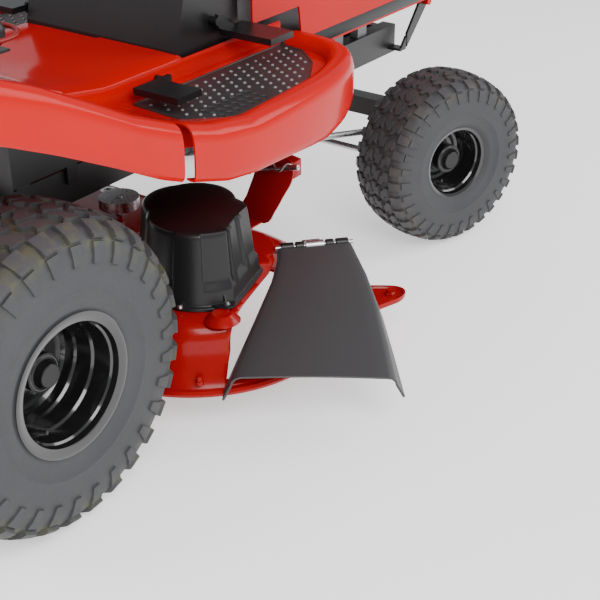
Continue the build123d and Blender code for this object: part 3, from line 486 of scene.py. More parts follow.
steer = radians(20)
for side, sign in (("right", -1), ("left", 1)):
    front_out = (sign * sin(steer), sign * cos(steer), 0)
    tyre(f"tyre_rear_{side}", f"rear_tyre_{side}", f"wheel_rear_{side}", (0, sign, 0), 101, 96, 30, True)
    tyre(f"tyre_front_{side}", f"front_tyre_{side}", f"wheel_front_{side}", front_out, 76, 63, 32, False)
    rim(f"rim_rear_{side}", f"rear_rim_{side}", f"wheel_rear_{side}", (0, sign, 0), 114.5, 96, -12, 12.8,
        rear_steps)
    rim(f"rim_front_{side}", f"front_rim_{side}", f"wheel_front_{side}", front_out, 89, 63, -8, 9.6,
        front_steps)
    hub_cap(f"cap_rear_{side}", f"rear_hub_cap_{side}", f"wheel_rear_{side}", (0, sign, 0), 34, 48, 18)
    hub_cap(f"cap_front_{side}", f"front_hub_cap_{side}", f"wheel_front_{side}", front_out, 36, 47, 18)

# ---- Fender and footrest body ----
EDGE = 490
RIDGE = [(-330, 752), (-240, 765), (-90, 742), (3, 702), (91, 656), (169, 614), (270, 571), (348, 547),
         (450, 529), (560, 526), (650, 522), (740, 518), (940, 516)]
LOWER = [(-330, 668), (-220, 684), (-90, 659), (10, 613), (121, 557), (215, 507), (270, 484), (369, 453),
         (450, 441), (533, 434), (615, 424), (700, 414), (780, 418), (850, 432), (940, 452)]
PLAN = [(-330, -490), (-200, -490), (-60, -490), (90, -490), (200, -490), (270, -490), (400, -489),
        (500, -482), (600, -471), (700, -455), (780, -436), (850, -408), (900, -368), (930, -310),
        (939, -228)]
BOARD = 494


def body_path(first, last, steps=8):
    """Plan points of the body's outer line between two distances forward, with inward normals."""
    line = [p for p in smooth_line(PLAN, steps)]
    kept = [p for p in line if first <= p[0] <= last]
    rows = []
    for i, p in enumerate(kept):
        a, b = kept[max(i - 1, 0)], kept[min(i + 1, len(kept) - 1)]
        run = hypot(b[0] - a[0], b[1] - a[1])
        rows.append((p, (-(b[1] - a[1]) / run, (b[0] - a[0]) / run)))
    return rows


def skirt_section(x):
    """The outer wall's section: (inward, z) from the folded lower edge over the ridge."""
    top, foot = along(RIDGE, x), along(LOWER, x)
    tall = top - foot
    return [(16, foot + 2), (9, foot + 0.2), (4, foot + 0.5), (1.2, foot + 5), (0.3, foot + 14),
            (0, foot + 0.45 * tall), (0.8, top - 26), (3, top - 14), (8, top - 5), (15, top - 1), (22, top)]


def wall(name, first, last, inward_rows, material):
    """A body shell swept along the outer line, on the right and mirrored on the left."""
    pieces = []
    for flip in (1, -1):
        rings = []
        for (px, py), (nx, ny) in body_path(first, last):
            section = skirt_section(px) + inward_rows(px)
            rings.append([at(px + nx * n, flip * (py + ny * n), z) for n, z in section])
        pieces.append(loft(f"{name}_{flip}", rings, material, thickness=3))
    return pieces


def fender_rows(x):
    """The rear fender's top, from the ridge in to the seat well and down its wall."""
    top = along(RIDGE, x)
    fall = max(0.0, min(1.0, (x - 60) / 210))
    drop = 30 * fall ** 1.5
    return [(34, top), (60, top - 1 - 0.3 * drop), (100, top - 1 - 0.7 * drop), (160, top - 2 - drop),
            (215, top - 4 - drop), (240, top - 8 - drop), (250, top - 16 - drop), (254, top - 28 - drop)]


def lip_rows(x):
    """The footrest's inner lip, from the ridge down to the board."""
    top = along(RIDGE, x)
    ramp = max(0.0, min(1.0, (430 - x) / 160))
    reach = 36 + 70 * ramp
    return [(30, top), (reach, top - 2 - 6 * ramp), (reach + 8, top - 8 - 6 * ramp),
            (reach + 13, BOARD + 6), (reach + 14, BOARD - 3)]


fender_parts = wall("fender_skin", -330, 268.6, fender_rows, RED)
footrest_parts = wall("footrest_skin", 271.4, 940, lip_rows, RED)

platform = []
well = [(-200, 600), (-60, 600), (60, 600), (150, 598), (200, 592), (240, 580), (268, 568)]
rings = []
for x, z in smooth_line(well, 6):
    edge = along(RIDGE, x)
    rise = max(z + 4, edge - 30)
    rings.append([at(x, y, h) for y, h in [(-236, rise), (-235, 0.5 * (rise + z)), (-233, z + 5),
                                           (-226, z + 1),
                                           (-200, z), (-100, z), (0, z), (100, z), (200, z), (226, z + 1),
                                           (233, z + 5), (235, 0.5 * (rise + z)), (236, rise)]])
platform.append(loft("seat_platform", rings, RED, thickness=3))
rings = []
for y in range(-486, 487, 54):
    crown = 4 * (1 - (y / 486) ** 2)
    rings.append([at(-329, y, 668), at(-330, y, 700), at(-330, y, 735), at(-327, y, 748 + crown * 0.3),
                  at(-318, y, 756 + crown * 0.5), at(-300, y, 760 + crown * 0.8), at(-240, y, 764),
                  at(-202, y, 758)])
platform.append(loft("rear_apron", rings, RED, thickness=3))
rings = [[at(-202, y, 757) for y in range(-236, 237, 59)], [at(-202, y, 600) for y in range(-236, 237, 59)]]
platform.append(loft("well_back", rings, RED, thickness=3))
for side in (-1, 1):
    platform.append(box_mesh("seat_lug", (226, side * 103 - 3, 573), (250, side * 103 + 3, 627), RED, 1.5))
fender = join("fender_body", fender_parts + platform)
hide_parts("rear_fender")
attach(fender, "chassis")

inner = 200
board_parts = []
for flip in (1, -1):
    rings = []
    for (px, py), (nx, ny) in body_path(272, 936, 6):
        ramp = max(0.0, min(1.0, (430 - px) / 160))
        outer_y = py + ny * (44 + 70 * ramp)
        z = BOARD - 1 + along([(272, 62), (330, 40), (430, 0), (940, 0)], px)
        near = min(outer_y, -inner - 2)
        rings.append([at(px + nx * 44, flip * (near + (-inner - near) * f), z) for f in
                      (0, 0.02, 0.25, 0.5, 0.75, 0.98, 1)])
    board_parts.append(loft("board", rings, RED, thickness=3))
    rings = []
    for x in range(272, 932, 30):
        top = along([(272, 566), (300, 556), (400, 540), (940, 540)], x)
        rings.append([at(x, flip * y, z) for y, z in (
            (-200, BOARD - 30), (-200, BOARD), (-200, top - 8), (-198, top - 2), (-192, top),
            (-150, top + 1), (-60, top + 1), (0, top + 1))])
    board_parts.append(loft("tunnel", rings[:12], RED, thickness=3))
    board_parts.append(loft("tunnel_wall", [ring[:4] for ring in rings[11:]], RED, thickness=3))
body = join("footrest_shell", footrest_parts + board_parts)
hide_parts("footrest_body")
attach(body, "chassis")

# ---- Footboard mats ----
MAT_PLAN = [(452, -215), (444, -300), (442, -372), (456, -394), (484, -410), (530, -422), (596, -425),
            (680, -408), (756, -376), (826, -334), (876, -276), (886, -215)]


def inside(plan, x, y, margin):
    """Whether a plan point lies inside an outline by more than a margin."""
    hit = False
    nearest = 1e9
    for (x0, y0), (x1, y1) in zip(plan, plan[1:] + plan[:1]):
        if (y0 > y) != (y1 > y) and x < (x1 - x0) * (y - y0) / (y1 - y0) + x0:
            hit = not hit
        run = max(1e-6, (x1 - x0) ** 2 + (y1 - y0) ** 2)
        t = max(0, min(1, ((x - x0) * (x1 - x0) + (y - y0) * (y1 - y0)) / run))
        nearest = min(nearest, hypot(x - x0 - t * (x1 - x0), y - y0 - t * (y1 - y0)))
    return hit and nearest > margin


def stud(x, y, z, r, h):
    """A small domed stud."""
    rings = []
    for radius, height in ((r, -0.5), (r * 0.92, h * 0.6), (r * 0.6, h * 0.95), (0.05, h)):
        rings.append([at(x + radius * cos(tau * k / 10), y + radius * sin(tau * k / 10), z + height)
                      for k in range(10)])
    return rings


mats = []
top_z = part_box("footrest_mats")[1][2] / MM - 2.5
for flip in (1, -1):
    outline = [(x, y) for x, y in MAT_PLAN]
    cx = sum(x for x, y in outline) / len(outline)
    cy = sum(y for x, y in outline) / len(outline)
    rings = []
    for grow, z in ((1, top_z - 5.5), (1, top_z - 1.5), (0.995, top_z), (0.975, top_z), (0.97, top_z - 1.2),
                    (0.5, top_z - 1.2), (0.01, top_z - 1.2)):
        rings.append([at(cx + (x - cx) * grow, flip * (cy + (y - cy) * grow), z)
                      for x, y in outline])
    mats.append(loft("mat_base", rings, MAT, closed=True))
    verts, faces = [], []
    for i in range(18):
        for j in range(11):
            x, y = 452 + i * 25 + (12 if j % 2 else 0), -224 - j * 20
            if not inside(MAT_PLAN, x, y, 12) or (490 < x < 640 and -400 < y < -330):
                continue
            rows = stud(x, flip * y, top_z - 1.2, 3.4, 2.6)
            first = len(verts)
            verts.extend(p for row in rows for p in row)
            for r in range(3):
                for c in range(10):
                    a, b = first + r * 10 + c, first + r * 10 + (c + 1) % 10
                    faces.append((a, b, b + 10, a + 10))
    studs = new_object("mat_studs", verts, faces, STUD)
    tidy_normals(studs)
    mats.append(studs)
    for i in range(7):
        for j in range(3):
            x, y = 500 + i * 20, -338 - j * 20
            rib = pipe("rib", [(x - 8, flip * (y + 7), top_z - 0.6), (x + 1, flip * y, top_z - 0.6),
                               (x - 8, flip * (y - 7), top_z - 0.6)], 1.8, MAT, 8)
            mats.append(rib)
mat = join("board_mats", mats)
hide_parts("footrest_mats")
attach(mat, "chassis")

# ---- Mower deck ----
DECK_TOP, DECK_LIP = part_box("spindle_housings")[0][2] / MM + 40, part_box("deck_shell")[0][2] / MM
RIGHT_HUB, LEFT_HUB = (490, -312), (500, 205)
LOBE = 255
FRONT_X = 745


def deck_ring(reach, front, steps=64):
    """Plan points round the two lobes and the straight front, from the front right corner."""
    points = []
    right, left = Vector(RIGHT_HUB), Vector(LEFT_HUB)
    corner = 70
    notch = (0.5 * (right.x + left.x) - reach * 0.74, 0.5 * (right.y + left.y))
    for k in range(steps):
        a = radians(-62) - radians(150) * k / (steps - 1)
        points.append((right.x + reach * cos(a), right.y + reach * sin(a)))
    end = points[-1]
    start_left = radians(212)
    first_left = (left.x + reach * cos(start_left), left.y + reach * sin(start_left))
    for k in range(1, 13):
        t = k / 13
        mid = ((1 - t) ** 2, 2 * t * (1 - t), t * t)
        points.append(tuple(mid[0] * end[i] + mid[1] * notch[i] + mid[2] * first_left[i] for i in (0, 1)))
    for k in range(steps):
        a = start_left - radians(150) * k / (steps - 1)
        points.append((left.x + reach * cos(a), left.y + reach * sin(a)))
    front_left, front_right = left.y + reach * sin(radians(62)) - 40, right.y - reach * sin(radians(62)) + 40
    for k in range(1, 20):
        y = front_left + (front_right - front_left) * k / 20
        points.append((front, y))
    return smooth_ring(points, 3)


def smooth_ring(points, rounds):
    """Even out the corners of a closed outline."""
    for _ in range(rounds):
        points = [tuple((a + 2 * b + c) / 4 for a, b,
                        c in zip(points[i - 1], p, points[(i + 1) % len(points)]))
                  for i, p in enumerate(points)]
    return points


deck_rows = [(0, 0, 2), (1, 0, -0.0), (4, 0, 0.5), (5, 0, 4), (3, 0, 8), (0, 0, 9), (-3, -2, 12),
             (-12, -10, 30), (-18, -16, 48), (-27, -30, 66), (-27.5, -36, 84), (-30, -42, 96),
             (-38, -50, 108), (-48, -60, 115), (-60, -72, 119), (-75, -88, 121.4), (-110, -120, 121.9),
             (-150, -170, 122)]
rings = [[at(x, y, DECK_LIP + h) for x, y in deck_ring(LOBE + grow - 5, FRONT_X + front - 5)]
         for grow, front, h in deck_rows]
skirt = loft("deck_skirt", rings, DECK_RED, closed=True, thickness=2.6)
inner_ring = rings[-1]
plate = new_object("deck_plate", inner_ring, [tuple(range(len(inner_ring)))], DECK_RED)
work = bmesh.new()
work.from_mesh(plate.data)
bmesh.ops.triangulate(work, faces=work.faces)
work.to_mesh(plate.data)
work.free()
wall_mod = plate.modifiers.new("wall", "SOLIDIFY")
wall_mod.thickness = 0.0026
wall_mod.offset = -1
apply_modifiers(plate)
tidy_normals(plate)
for face in plate.data.polygons:
    face.use_smooth = False

# The discharge hinge's middle and direction, and the chute's own slope.
HINGE_MID = at(664, -451, 211)
HINGE_WAY = Vector((84, -78, 0)).normalized()
CHUTE_WAY = Vector((HINGE_WAY.y, -HINGE_WAY.x, 0))
CHUTE_SLOPE = 0.303


def chute_point(along_hinge, run, lift=0.0):
    """A point on the chute's plane, from its distance along and out from the hinge in mm."""
    return HINGE_MID + (HINGE_WAY * along_hinge + CHUTE_WAY * run) * MM + Vector(
        (0, 0, (lift - run * CHUTE_SLOPE) * MM))


def cut(thing, cutter):
    """Remove one mesh from another and delete the cutter."""
    take = thing.modifiers.new("cut", "BOOLEAN")
    take.object = cutter
    take.operation = "DIFFERENCE"
    take.solver = "EXACT"
    apply_modifiers(thing)
    bpy.data.objects.remove(cutter)


def outlet_cutter(inset, drop):
    """The room over the discharge opening, above the chute's slope and the deck's lower step."""
    corners = [(-78 + inset, -12), (76, -12), (120, 400), (-262 + inset, 400), (-219 + inset, 275),
               (-189 + inset, 222), (-145 + inset, 149), (-101 + inset, 77), (-82 + inset, 30)]
    low_ring = [chute_point(a, r, drop - 0.1 * r) for a, r in corners]
    high_ring = [p + Vector((0, 0, 0.3)) for p in low_ring]
    cutter = loft("cutter", [low_ring, high_ring], DECK_RED, closed=True, cap=True)
    work = bmesh.new()
    work.from_mesh(cutter.data)
    everything = work.verts[:] + work.edges[:] + work.faces[:]
    bmesh.ops.bisect_plane(work, geom=everything, plane_co=at(0, 0, 101), plane_no=(0, 0, 1),
                           clear_inner=True)
    bmesh.ops.holes_fill(work, edges=[e for e in work.edges if e.is_boundary])
    bmesh.ops.recalc_face_normals(work, faces=work.faces)
    work.to_mesh(cutter.data)
    work.free()
    return cutter


for sheet_piece in (skirt, plate):
    cut(sheet_piece, outlet_cutter(0, -12))
    cut(sheet_piece, outlet_cutter(36, -38))
deck_parts = [skirt, plate]
for x, y, r, h in ((362, -470, 22, 9), (330, -250, 20, 7), (380, 330, 26, 9), (640, 240, 22, 8)):
    profile = [(-4, r + 10), (0, r + 6), (h * 0.6, r), (h, r - 5), (h, r * 0.4), (h + 1, 0)]
    deck_parts.append(turned("deck_boss", profile, at(x, y, DECK_LIP + 121), (0, 0, 1), DECK_RED, 40))
lug_line = [(640, -470), (690, -474), (742, -500), (775, -540), (786, -566), (776, -584), (750, -588),
            (716, -578), (676, -566), (640, -556)]
lug_outline = smooth_line(lug_line, 5)
lug_centre = (706, -530)
rings = []
for grow, z in ((0.0, 99), (0.6, 99), (0.93, 99), (0.97, 101), (1.0, 105), (1.02, 105), (1.03, 101),
                (1.01, 95),
                (0.97, 93.5), (0.6, 93.5), (0.0, 93.5)):
    rings.append([at(lug_centre[0] + (x - lug_centre[0]) * max(grow, 0.001),
                     lug_centre[1] + (y - lug_centre[1]) * max(grow, 0.001), z) for x, y in lug_outline])
deck_parts.append(loft("deck_lug", rings, DECK_RED, closed=True))
deck_parts.append(turned("lug_bolt", [(0, 0), (0, 11), (3, 11), (4, 9.5), (4, 6.5), (10, 6), (10.5, 0)],
                         at(760, -560, 99), (0, 0, 1), DECK_RED, 6))
deck_parts.append(turned("lip_stud", [(0, 0), (0, 7), (7, 7), (8, 5), (16, 5), (17, 0)], at(297, -470, 100),
                         (0, 0, 1), DECK_RED, 12))
deck = join("deck_body", deck_parts)
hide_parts("deck_shell")
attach(deck, "deck")

# ---- Discharge chute ----
CHUTE_T = 4


def chute_rows():
    """Section rings from the hinge to the bottom edge, folded down at both sides."""
    rings = []
    for k in range(25):
        f = k / 24
        left = along([(0, -68), (0.08, -72), (0.25, -92), (0.5, -132), (0.75, -172), (0.93, -200),
                      (1, -206)], f)
        right = along([(0, 66), (0.1, 70), (0.25, 76), (0.5, 78), (0.75, 74), (1, 68)], f)
        run_left, run_right = 4 + 291 * f, 4 + 327 * f
        fold = 7 + 33 * f ** 0.9
        bend = 5 + 9 * f
        splay = 14 * f
        ring = []
        for g in (0, 0.3, 0.6, 0.85):
            ring.append(chute_point(left - splay * (1 - g), run_left, -fold * (1 - g) - bend * g))
        for angle in (0, 30, 60, 90):
            a = radians(angle)
            ring.append(chute_point(left + bend - bend * cos(a), run_left, -bend + bend * sin(a)))
        for t in (0.1, 0.25, 0.4, 0.5, 0.6, 0.75, 0.9):
            run = run_left + (run_right - run_left) * t
            ring.append(chute_point(left + bend + (right - left - 2 * bend) * t, run, 3 * f * sin(pi * t)))
        for angle in (90, 60, 30, 0):
            a = radians(angle)
            ring.append(chute_point(right - bend + bend * cos(a), run_right, -bend + bend * sin(a)))
        for g in (0.85, 0.6, 0.3, 0):
            ring.append(chute_point(right + splay * (1 - g), run_right, -fold * (1 - g) - bend * g))
        rings.append(ring)
    return rings


chute_parts = [loft("chute_shell", chute_rows(), GREY_SATIN, thickness=CHUTE_T)]
for start, end in ((-0.064, -0.040), (-0.036, -0.021), (0.021, 0.036), (0.040, 0.064)):
    a, b = HINGE_MID + HINGE_WAY * start, HINGE_MID + HINGE_WAY * end
    long = (b - a).length / MM
    outline = [(0, 4.2), (0, 8), (1, 8.8), (long - 1, 8.8), (long, 8), (long, 4.2)]
    chute_parts.append(turned("knuckle", outline, a, b - a, BLACK_SATIN, 28))
chute = join("chute_body", chute_parts)
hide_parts("discharge_chute")
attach(chute, "chute")

# Two plain dark bars on each fender side.
bars = []
for flip in (-1, 1):
    for x0, x1 in ((-164, -118), (-106, -94)):
        y0, y1 = sorted((flip * (EDGE - 0.6), flip * (EDGE + 0.4)))
        bars.append(box_mesh("fender_bar", (x0, y0, 682), (x1, y1, 728), BLACK_SATIN, 0.3))
bars = join("fender_bars", bars)
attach(bars, "chassis")

# ---- Belt covers on the deck ----
def sheet_plate(name, outline, way, thickness, material, bevel=0.8):
    """A flat plate: an outline of places pushed along one direction by a thickness in mm."""
    push = Vector(way).normalized() * thickness * MM
    count = len(outline)
    faces = [tuple(reversed(range(count))), tuple(range(count, 2 * count))]
    faces += [(i, (i + 1) % count, count + (i + 1) % count, count + i) for i in range(count)]
    made = new_object(name, [*outline, *[p + push for p in outline]], faces, material)
    tidy_normals(made)
    if bevel:
        rounding = made.modifiers.new("edges", "BEVEL")
        rounding.width = bevel * MM
        rounding.segments = 2
        rounding.limit_method = "ANGLE"
        apply_modifiers(made)
    sharpen(made, 30)
    return made


def ease(low, high, value):
    """0 below low, 1 above high and a smooth turn between."""
    t = min(max((value - low) / (high - low), 0), 1)
    return t * t * (3 - 2 * t)


def drum_cover(name, centre, reach, z0, z1, edge, draft, recesses, material):
    """A moulded drum with a flange, draft, recessed side panels between ribs and a rounded top."""
    steps = 360
    rings = []
    rows = [(z0, 7), (z0 + 5, 7), (z0 + 6, 6), (z0 + 6.5, 3), (z0 + 8, 1.5), (z0 + 12, 1)]
    wall_top = z1 - edge - 5
    rows += [(z0 + 12 + (wall_top - z0 - 12) * k / 14, 1 - draft * k / 14) for k in range(1, 15)]
    rows += [(wall_top + edge * sin(radians(a)),
              1 - draft - edge * (1 - cos(radians(a)))) for a in range(15, 91, 15)]
    rows += [(wall_top + edge + 1.2, 1 - draft - edge - 4), (wall_top + edge + 1.6, -draft - edge - 12)]
    for z, grow in rows:
        ring = []
        for k in range(steps):
            angle = tau * k / steps
            r = reach(angle) + grow
            depth = 0.0
            for a0, a1, z_low, z_high, deep in recesses:
                turn = (angle - radians(a0)) % tau
                span = radians(a1 - a0)
                if turn < span:
                    gap = radians(1.6)
                    depth += (deep * ease(0, gap, turn) * ease(0, gap, span - turn)
                              * ease(z_low, z_low + 4, z) * ease(0, 4, z_high - z))
            r -= depth
            ring.append(at(centre[0] + r * cos(angle), centre[1] + r * sin(angle), z))
        rings.append(ring)
    for shrink in (0.7, 0.4, 0.12, 0.001):
        ring = []
        for k in range(steps):
            angle = tau * k / steps
            r = (reach(angle) - draft - edge - 12) * shrink
            ring.append(at(centre[0] + r * cos(angle), centre[1] + r * sin(angle), z1 - 1.5 * shrink - 0.1))
        rings.append(ring)
    made = loft(name, rings, material, closed=True)
    sharpen(made, 50)
    return made


DRUM = (442, -362)
DRUM_R = 107
FLAT_WAY, FLAT_AT = radians(-72.8), 85


def drum_reach(angle):
    """The outline of the drum and the smaller lobe over the spindle beside it."""
    best = DRUM_R
    for (cx, cy), r in (((490, -312), 84), ((470, -300), 84)):
        px, py = cx - DRUM[0], cy - DRUM[1]
        forward = px * cos(angle) + py * sin(angle)
        aside = px * sin(angle) - py * cos(angle)
        if abs(aside) < r:
            best = max(best, forward + (r * r - aside * aside) ** 0.5)
    facing = cos(angle - FLAT_WAY)
    return min(best, FLAT_AT / facing) if facing > 0.2 else best


panels = [(-222, -168, 238, 336, 4), (-140, -103, 240, 336, 5), (-97, -66, 240, 336, 5),
          (-58, -20, 240, 336, 5)]
dome = drum_cover("belt_cover_drum", DRUM, drum_reach, 202, 342, 12, 15, panels, BLACK_SATIN)
cover_parts = [dome]
ear = [at(DRUM[0] + r * cos(radians(a)), DRUM[1] + r * sin(radians(a)), 206) for r, a in
       ((98, -136), (113, -131), (126, -121), (124, -115), (112, -110), (96, -106))]
cover_parts.append(sheet_plate("cover_ear", ear, (0, 0, 1), 5, BLACK_SATIN, 1))
EAR_ANGLE = radians(-119)
web = [at(DRUM[0] + r * cos(EAR_ANGLE), DRUM[1] + r * sin(EAR_ANGLE), z) for r, z in
       ((98, 210), (122, 210), (98, 236))]
cover_parts.append(sheet_plate("cover_web", web, (sin(EAR_ANGLE), -cos(EAR_ANGLE), 0), 3, BLACK_SATIN, 0.8))
for a in (-160, -119, -20):
    spot = at(DRUM[0] + 113 * cos(radians(a)), DRUM[1] + 113 * sin(radians(a)), 209 if a != -119 else 211)
    cover_parts.append(turned("cover_screw", [(0, 0), (0, 6.5), (1.5, 6.5), (1.6, 4.4), (5, 4.2),
                                              (5.6, 3), (5.6, 0)],
                              spot, (0, 0, 1), ZINC, 24))
cover = join("belt_cover_moulding", cover_parts)
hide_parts("belt_cover_right")
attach(cover, "deck")

left_panels = [(a, a + 22, 214, 268, 4) for a in range(0, 360, 30)]
left_cover = drum_cover("left_cover_moulding", LEFT_HUB, lambda angle: 88.9, 202, 292, 12, 4,
                        left_panels, BLACK_SATIN)
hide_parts("belt_cover_left")
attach(left_cover, "deck")

# ---- Deck hanger and its pin ----
HANGER_X = 728
plate_line = smooth_line([(-232, 200), (-305, 200), (-330, 232), (-350, 268), (-368, 300), (-374, 330),
                          (-366, 345),
                          (-340, 349), (-310, 340), (-290, 318), (-276, 285), (-262, 250)], 4)
hanger_parts = [sheet_plate("hanger_plate", [at(HANGER_X - 24, y, z) for y, z in plate_line], (1, 0, 0), 5,
                            DECK_RED, 1)]
fold = [at(HANGER_X - 19, -345, 300), at(HANGER_X - 19, -372, 308), at(HANGER_X - 19, -372, 342),
        at(HANGER_X - 19, -332, 347)]
hanger_parts.append(sheet_plate("hanger_fold", fold, (1, 0, 0), 26, DECK_RED, 2))
hanger_parts.append(box_mesh("hanger_foot", (HANGER_X - 60, -300, 200), (HANGER_X - 24, -230, 204),
                             DECK_RED, 1))
# The slot is not cut through the plate: a thin black sheet on its face paints the shade seen through the
# opening.
slot_shade_outline = []
for k in range(24):
    a = tau * k / 24
    slot_shade_outline.append(at(HANGER_X - 24.4, -318 + 5.5 * cos(a) - (14 if cos(a) < 0 else 0),
                        322 + 5.5 * sin(a)))
hanger_parts.append(sheet_plate("hanger_slot_shade", slot_shade_outline, (1, 0, 0), 0.8, BLACK_PAINT, 0))
hanger = join("hanger_bracket", hanger_parts)
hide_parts("deck_hanger")
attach(hanger, "deck")

pin_start, pin_end = (HANGER_X - 30, -262, 304), (HANGER_X - 30, -392, 340)
pin_way = (Vector(pin_end) - Vector(pin_start)).normalized()
pin_profile = [(0, 0), (0, 5.2), (1, 6), (12, 6), (12, 8.5), (15, 8.5), (15, 6), (118, 6), (133, 5),
               (134.5, 0)]
pin_parts = [turned("clevis_pin", pin_profile, at(*pin_start), pin_way, ZINC, 32)]
hair = []
for k in range(40):
    t = k / 39
    hair.append((HANGER_X - 30 + 9 * sin(2.4 * pi * t) * (1 - t * 0.4), -300 - 84 * t,
                 318 + 22 * t + 7 * cos(5 * pi * t)))
pin_parts.append(pipe("hairpin", hair, 1.7, ZINC, 10))
hanger_pin = join("hanger_pin_and_clip", pin_parts)
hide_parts("hanger_pin")
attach(hanger_pin, "deck")

# ---- Seat: cushions swollen by a cloth simulation, then channels and piping ----
def soft_pad(name, low, high, lean, top_cap, floor_z):
    """A padded form between two corners in mm: inflated like cloth, capped, and flat below."""
    made = box_mesh(name, low, high, VINYL, bevel=24, segments=4)
    bend = made.modifiers.new("remesh", "REMESH")
    bend.mode = "VOXEL"
    bend.voxel_size = 0.006
    apply_modifiers(made)
    start = [v.co.copy() for v in made.data.vertices]
    air = made.modifiers.new("swell", "CLOTH")
    air.settings.quality = 4
    air.settings.mass = 0.3
    air.settings.use_pressure = True
    air.settings.uniform_pressure_force = 4
    air.settings.effector_weights.gravity = 0
    for frame_number in range(1, 21):
        bpy.context.scene.frame_set(frame_number)
    settled = made.evaluated_get(bpy.context.evaluated_depsgraph_get()).to_mesh()
    moved = [v.co.copy() for v in settled.vertices]
    made.modifiers.remove(air)
    bpy.context.scene.frame_set(1)
    for v, first, last in zip(made.data.vertices, start, moved):
        step = last - first
        reach = top_cap * MM
        v.co = first + (step if step.length < reach else step * (reach / step.length))
    for v in made.data.vertices:
        z = v.co.z / MM
        v.co.z = max(z, floor_z) * MM
        v.co.x += (v.co.z / MM - floor_z) * lean * MM
    return made


def press_lines(made, lines, axis, depth, face):
    """Sewn channels: the surface on one side sinks along lines across the pad."""
    for v in made.data.vertices:
        place = (v.co - AXLE) / MM
        if face(place):
            sink = sum(depth * 2.718 ** (-((place[axis] - line) / 7) ** 2) for line in lines)
            normal = v.normal
            v.co -= normal * sink * MM


def finish_pad(made):
    """One subdivision, smooth shading and a light smoothing of the voxel steps."""
    calm = made.modifiers.new("calm", "SMOOTH")
    calm.factor = 0.5
    calm.iterations = 4
    more = made.modifiers.new("round", "SUBSURF")
    more.levels = more.render_levels = 1
    apply_modifiers(made)
    for face in made.data.polygons:
        face.use_smooth = True


def ring_round(x0, x1, half, radius, height, steps=9):
    """A rounded rectangle of places in mm, at a height given by a function of x and y."""
    ring = []
    for cx, cy, a0 in ((x1 - radius, half - radius, 0), (x0 + radius, half - radius, 90),
                       (x0 + radius, -half + radius, 180), (x1 - radius, -half + radius, 270)):
        for k in range(steps):
            a = radians(a0 + 90 * k / (steps - 1))
            x, y = cx + radius * cos(a), cy + radius * sin(a)
            ring.append((x, y, height(x, y)))
    return ring + [ring[0]]


base_pad = soft_pad("seat_base", (-92, -194, 652), (232, 194, 700), 0.0, 18, 641)
press_lines(base_pad, (-30, 30, 90, 150), 0, 5, lambda p: p.z > 690 and abs(p.y) < 150)
press_lines(base_pad, (-150, 150), 1, 5, lambda p: p.z > 690 and -70 < p.x < 200)
finish_pad(base_pad)
piping = pipe("seat_base_piping", ring_round(-104, 244, 206, 52, lambda x, y: 676), 4, PIPING, 12)
base = join("seat_base_cushion", [base_pad, piping])
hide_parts("seat_cushion")
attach(base, "seat_body")

back_pad = soft_pad("seat_back", (-146, -190, 668), (-86, 190, 990), -0.12, 16, 660)
press_lines(back_pad, (740, 800, 860, 920), 2, 5,
            lambda p: p.x > -110 - (p.z - 660) * 0.12 and abs(p.y) < 150)
finish_pad(back_pad)
side = [(-116 - (z - 660) * 0.12, y, z) for y, z in
        [(q[1], 829 + q[0]) for q in ring_round(-172, 172, 202, 60, lambda x, y: 0)]]
back = join("seat_back_cushion", [back_pad, pipe("seat_back_piping", side, 4, PIPING, 12)])
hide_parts("seat_cushion")
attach(back, "seat_body")

# ---- Hood details on the CAD hood: louvres and lower strip ----
hood_parts = []
for sign in (-1, 1):
    for k in range(6):
        x = 1090 + 34 * k
        y0, y1 = sorted((sign * 216.5, sign * 218.8))
        hood_parts.append(box_mesh("louvre", (x, y0, 610 - 4 * k), (x + 16, y1, 700 - 7 * k),
                                   BLACK_SATIN, 0.9))
    y0, y1 = sorted((sign * 216, sign * 218.6))
    hood_parts.append(box_mesh("hood_strip", (975, y0, 466), (1462, y1, 492), BLACK_SATIN, 1))
trim = join("hood_trim", hood_parts)
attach(trim, "hood_body")

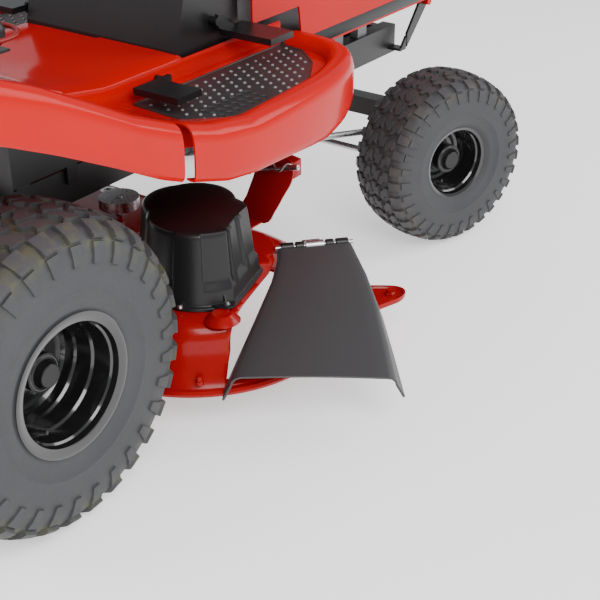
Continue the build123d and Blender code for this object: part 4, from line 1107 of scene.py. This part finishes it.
# ---- Finishes of the CAD pieces that are shown as they are ----
FINISH = {
    ZINC: ("rear_axle_shaft", "tie_rod", "drag_link", "steering_shaft", "transaxle_pulley", "engine_pulley",
           "idler_arm", "chute_hinge_rod"),
    CAST: ("transaxle", "engine_block", "spindle_housings", "muffler", "steering_sector"),
    RED: ("hood",),
    TANK: ("fuel_tank",),
    LAMP: ("headlights",),
    BLACK_SATIN: ("steering_wheel", "engine_shroud", "fender_inserts", "side_panels", "battery", "grille",
                  "dash_tower", "pto_knob", "brake_pedal", "forward_pedal", "reverse_pedal"),
}
for node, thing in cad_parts.items():
    finish = BLACK_PAINT
    for material, names in FINISH.items():
        if any(node == base_name or node.startswith(base_name + "_") for base_name in names):
            finish = material
    thing.data.materials.clear()
    thing.data.materials.append(finish)

# ---- Stage, light and camera ----
PALE = surface("pale_floor", (0.95, 0.95, 0.95), (0.94, 0.94, 0.94), (0.7, 0.8), 0.02, 20, spec=0.1)
glow = PALE.node_tree.nodes["Principled BSDF"]
glow.inputs["Emission Color"].default_value = (1, 1, 1, 1)
glow.inputs["Emission Strength"].default_value = 0.7
floor = new_object("floor", [Vector((x, y, -0.0005)) for x, y in ((-14, -14), (14, -14), (14, 14),
                                                                  (-14, 14))],
                   [(0, 1, 2, 3)], PALE, smooth=False)

world = bpy.data.worlds.new("studio")
bpy.context.scene.world = world
world.use_nodes = True
world.node_tree.nodes["Background"].inputs["Color"].default_value = (0.95, 0.97, 1.0, 1)
world.node_tree.nodes["Background"].inputs["Strength"].default_value = 0.62


def area_light(name, place, target, size, power):
    """A soft box aimed at a point."""
    data = bpy.data.lights.new(name, "AREA")
    data.shape = "RECTANGLE"
    data.size, data.size_y = size
    data.energy = power
    lamp = bpy.data.objects.new(name, data)
    bpy.context.collection.objects.link(lamp)
    lamp.location = place
    lamp.rotation_euler = (Vector(target) - Vector(place)).to_track_quat("-Z", "Y").to_euler()


area_light("key", at(-900, -2600, 2600), at(500, -200, 300), (2.2, 1.6), 95)
area_light("fill", at(2900, -2200, 1800), at(700, 0, 300), (1.8, 1.8), 45)
area_light("rear", at(-2400, 1400, 2200), at(200, 0, 400), (2.0, 1.4), 40)

EYE = at(-1097.6, -1660.8, 1244.7)
YAW, PITCH = radians(35.2), radians(-28.3)
camera_data = bpy.data.cameras.new("camera")
camera_data.lens = 76.43
camera_data.sensor_width = 36
camera_data.clip_end = 50
camera = bpy.data.objects.new("camera", camera_data)
bpy.context.collection.objects.link(camera)
camera.location = EYE
look = Vector((cos(PITCH) * cos(YAW), cos(PITCH) * sin(YAW), sin(PITCH)))
camera.rotation_euler = look.to_track_quat("-Z", "Y").to_euler()
bpy.context.scene.camera = camera
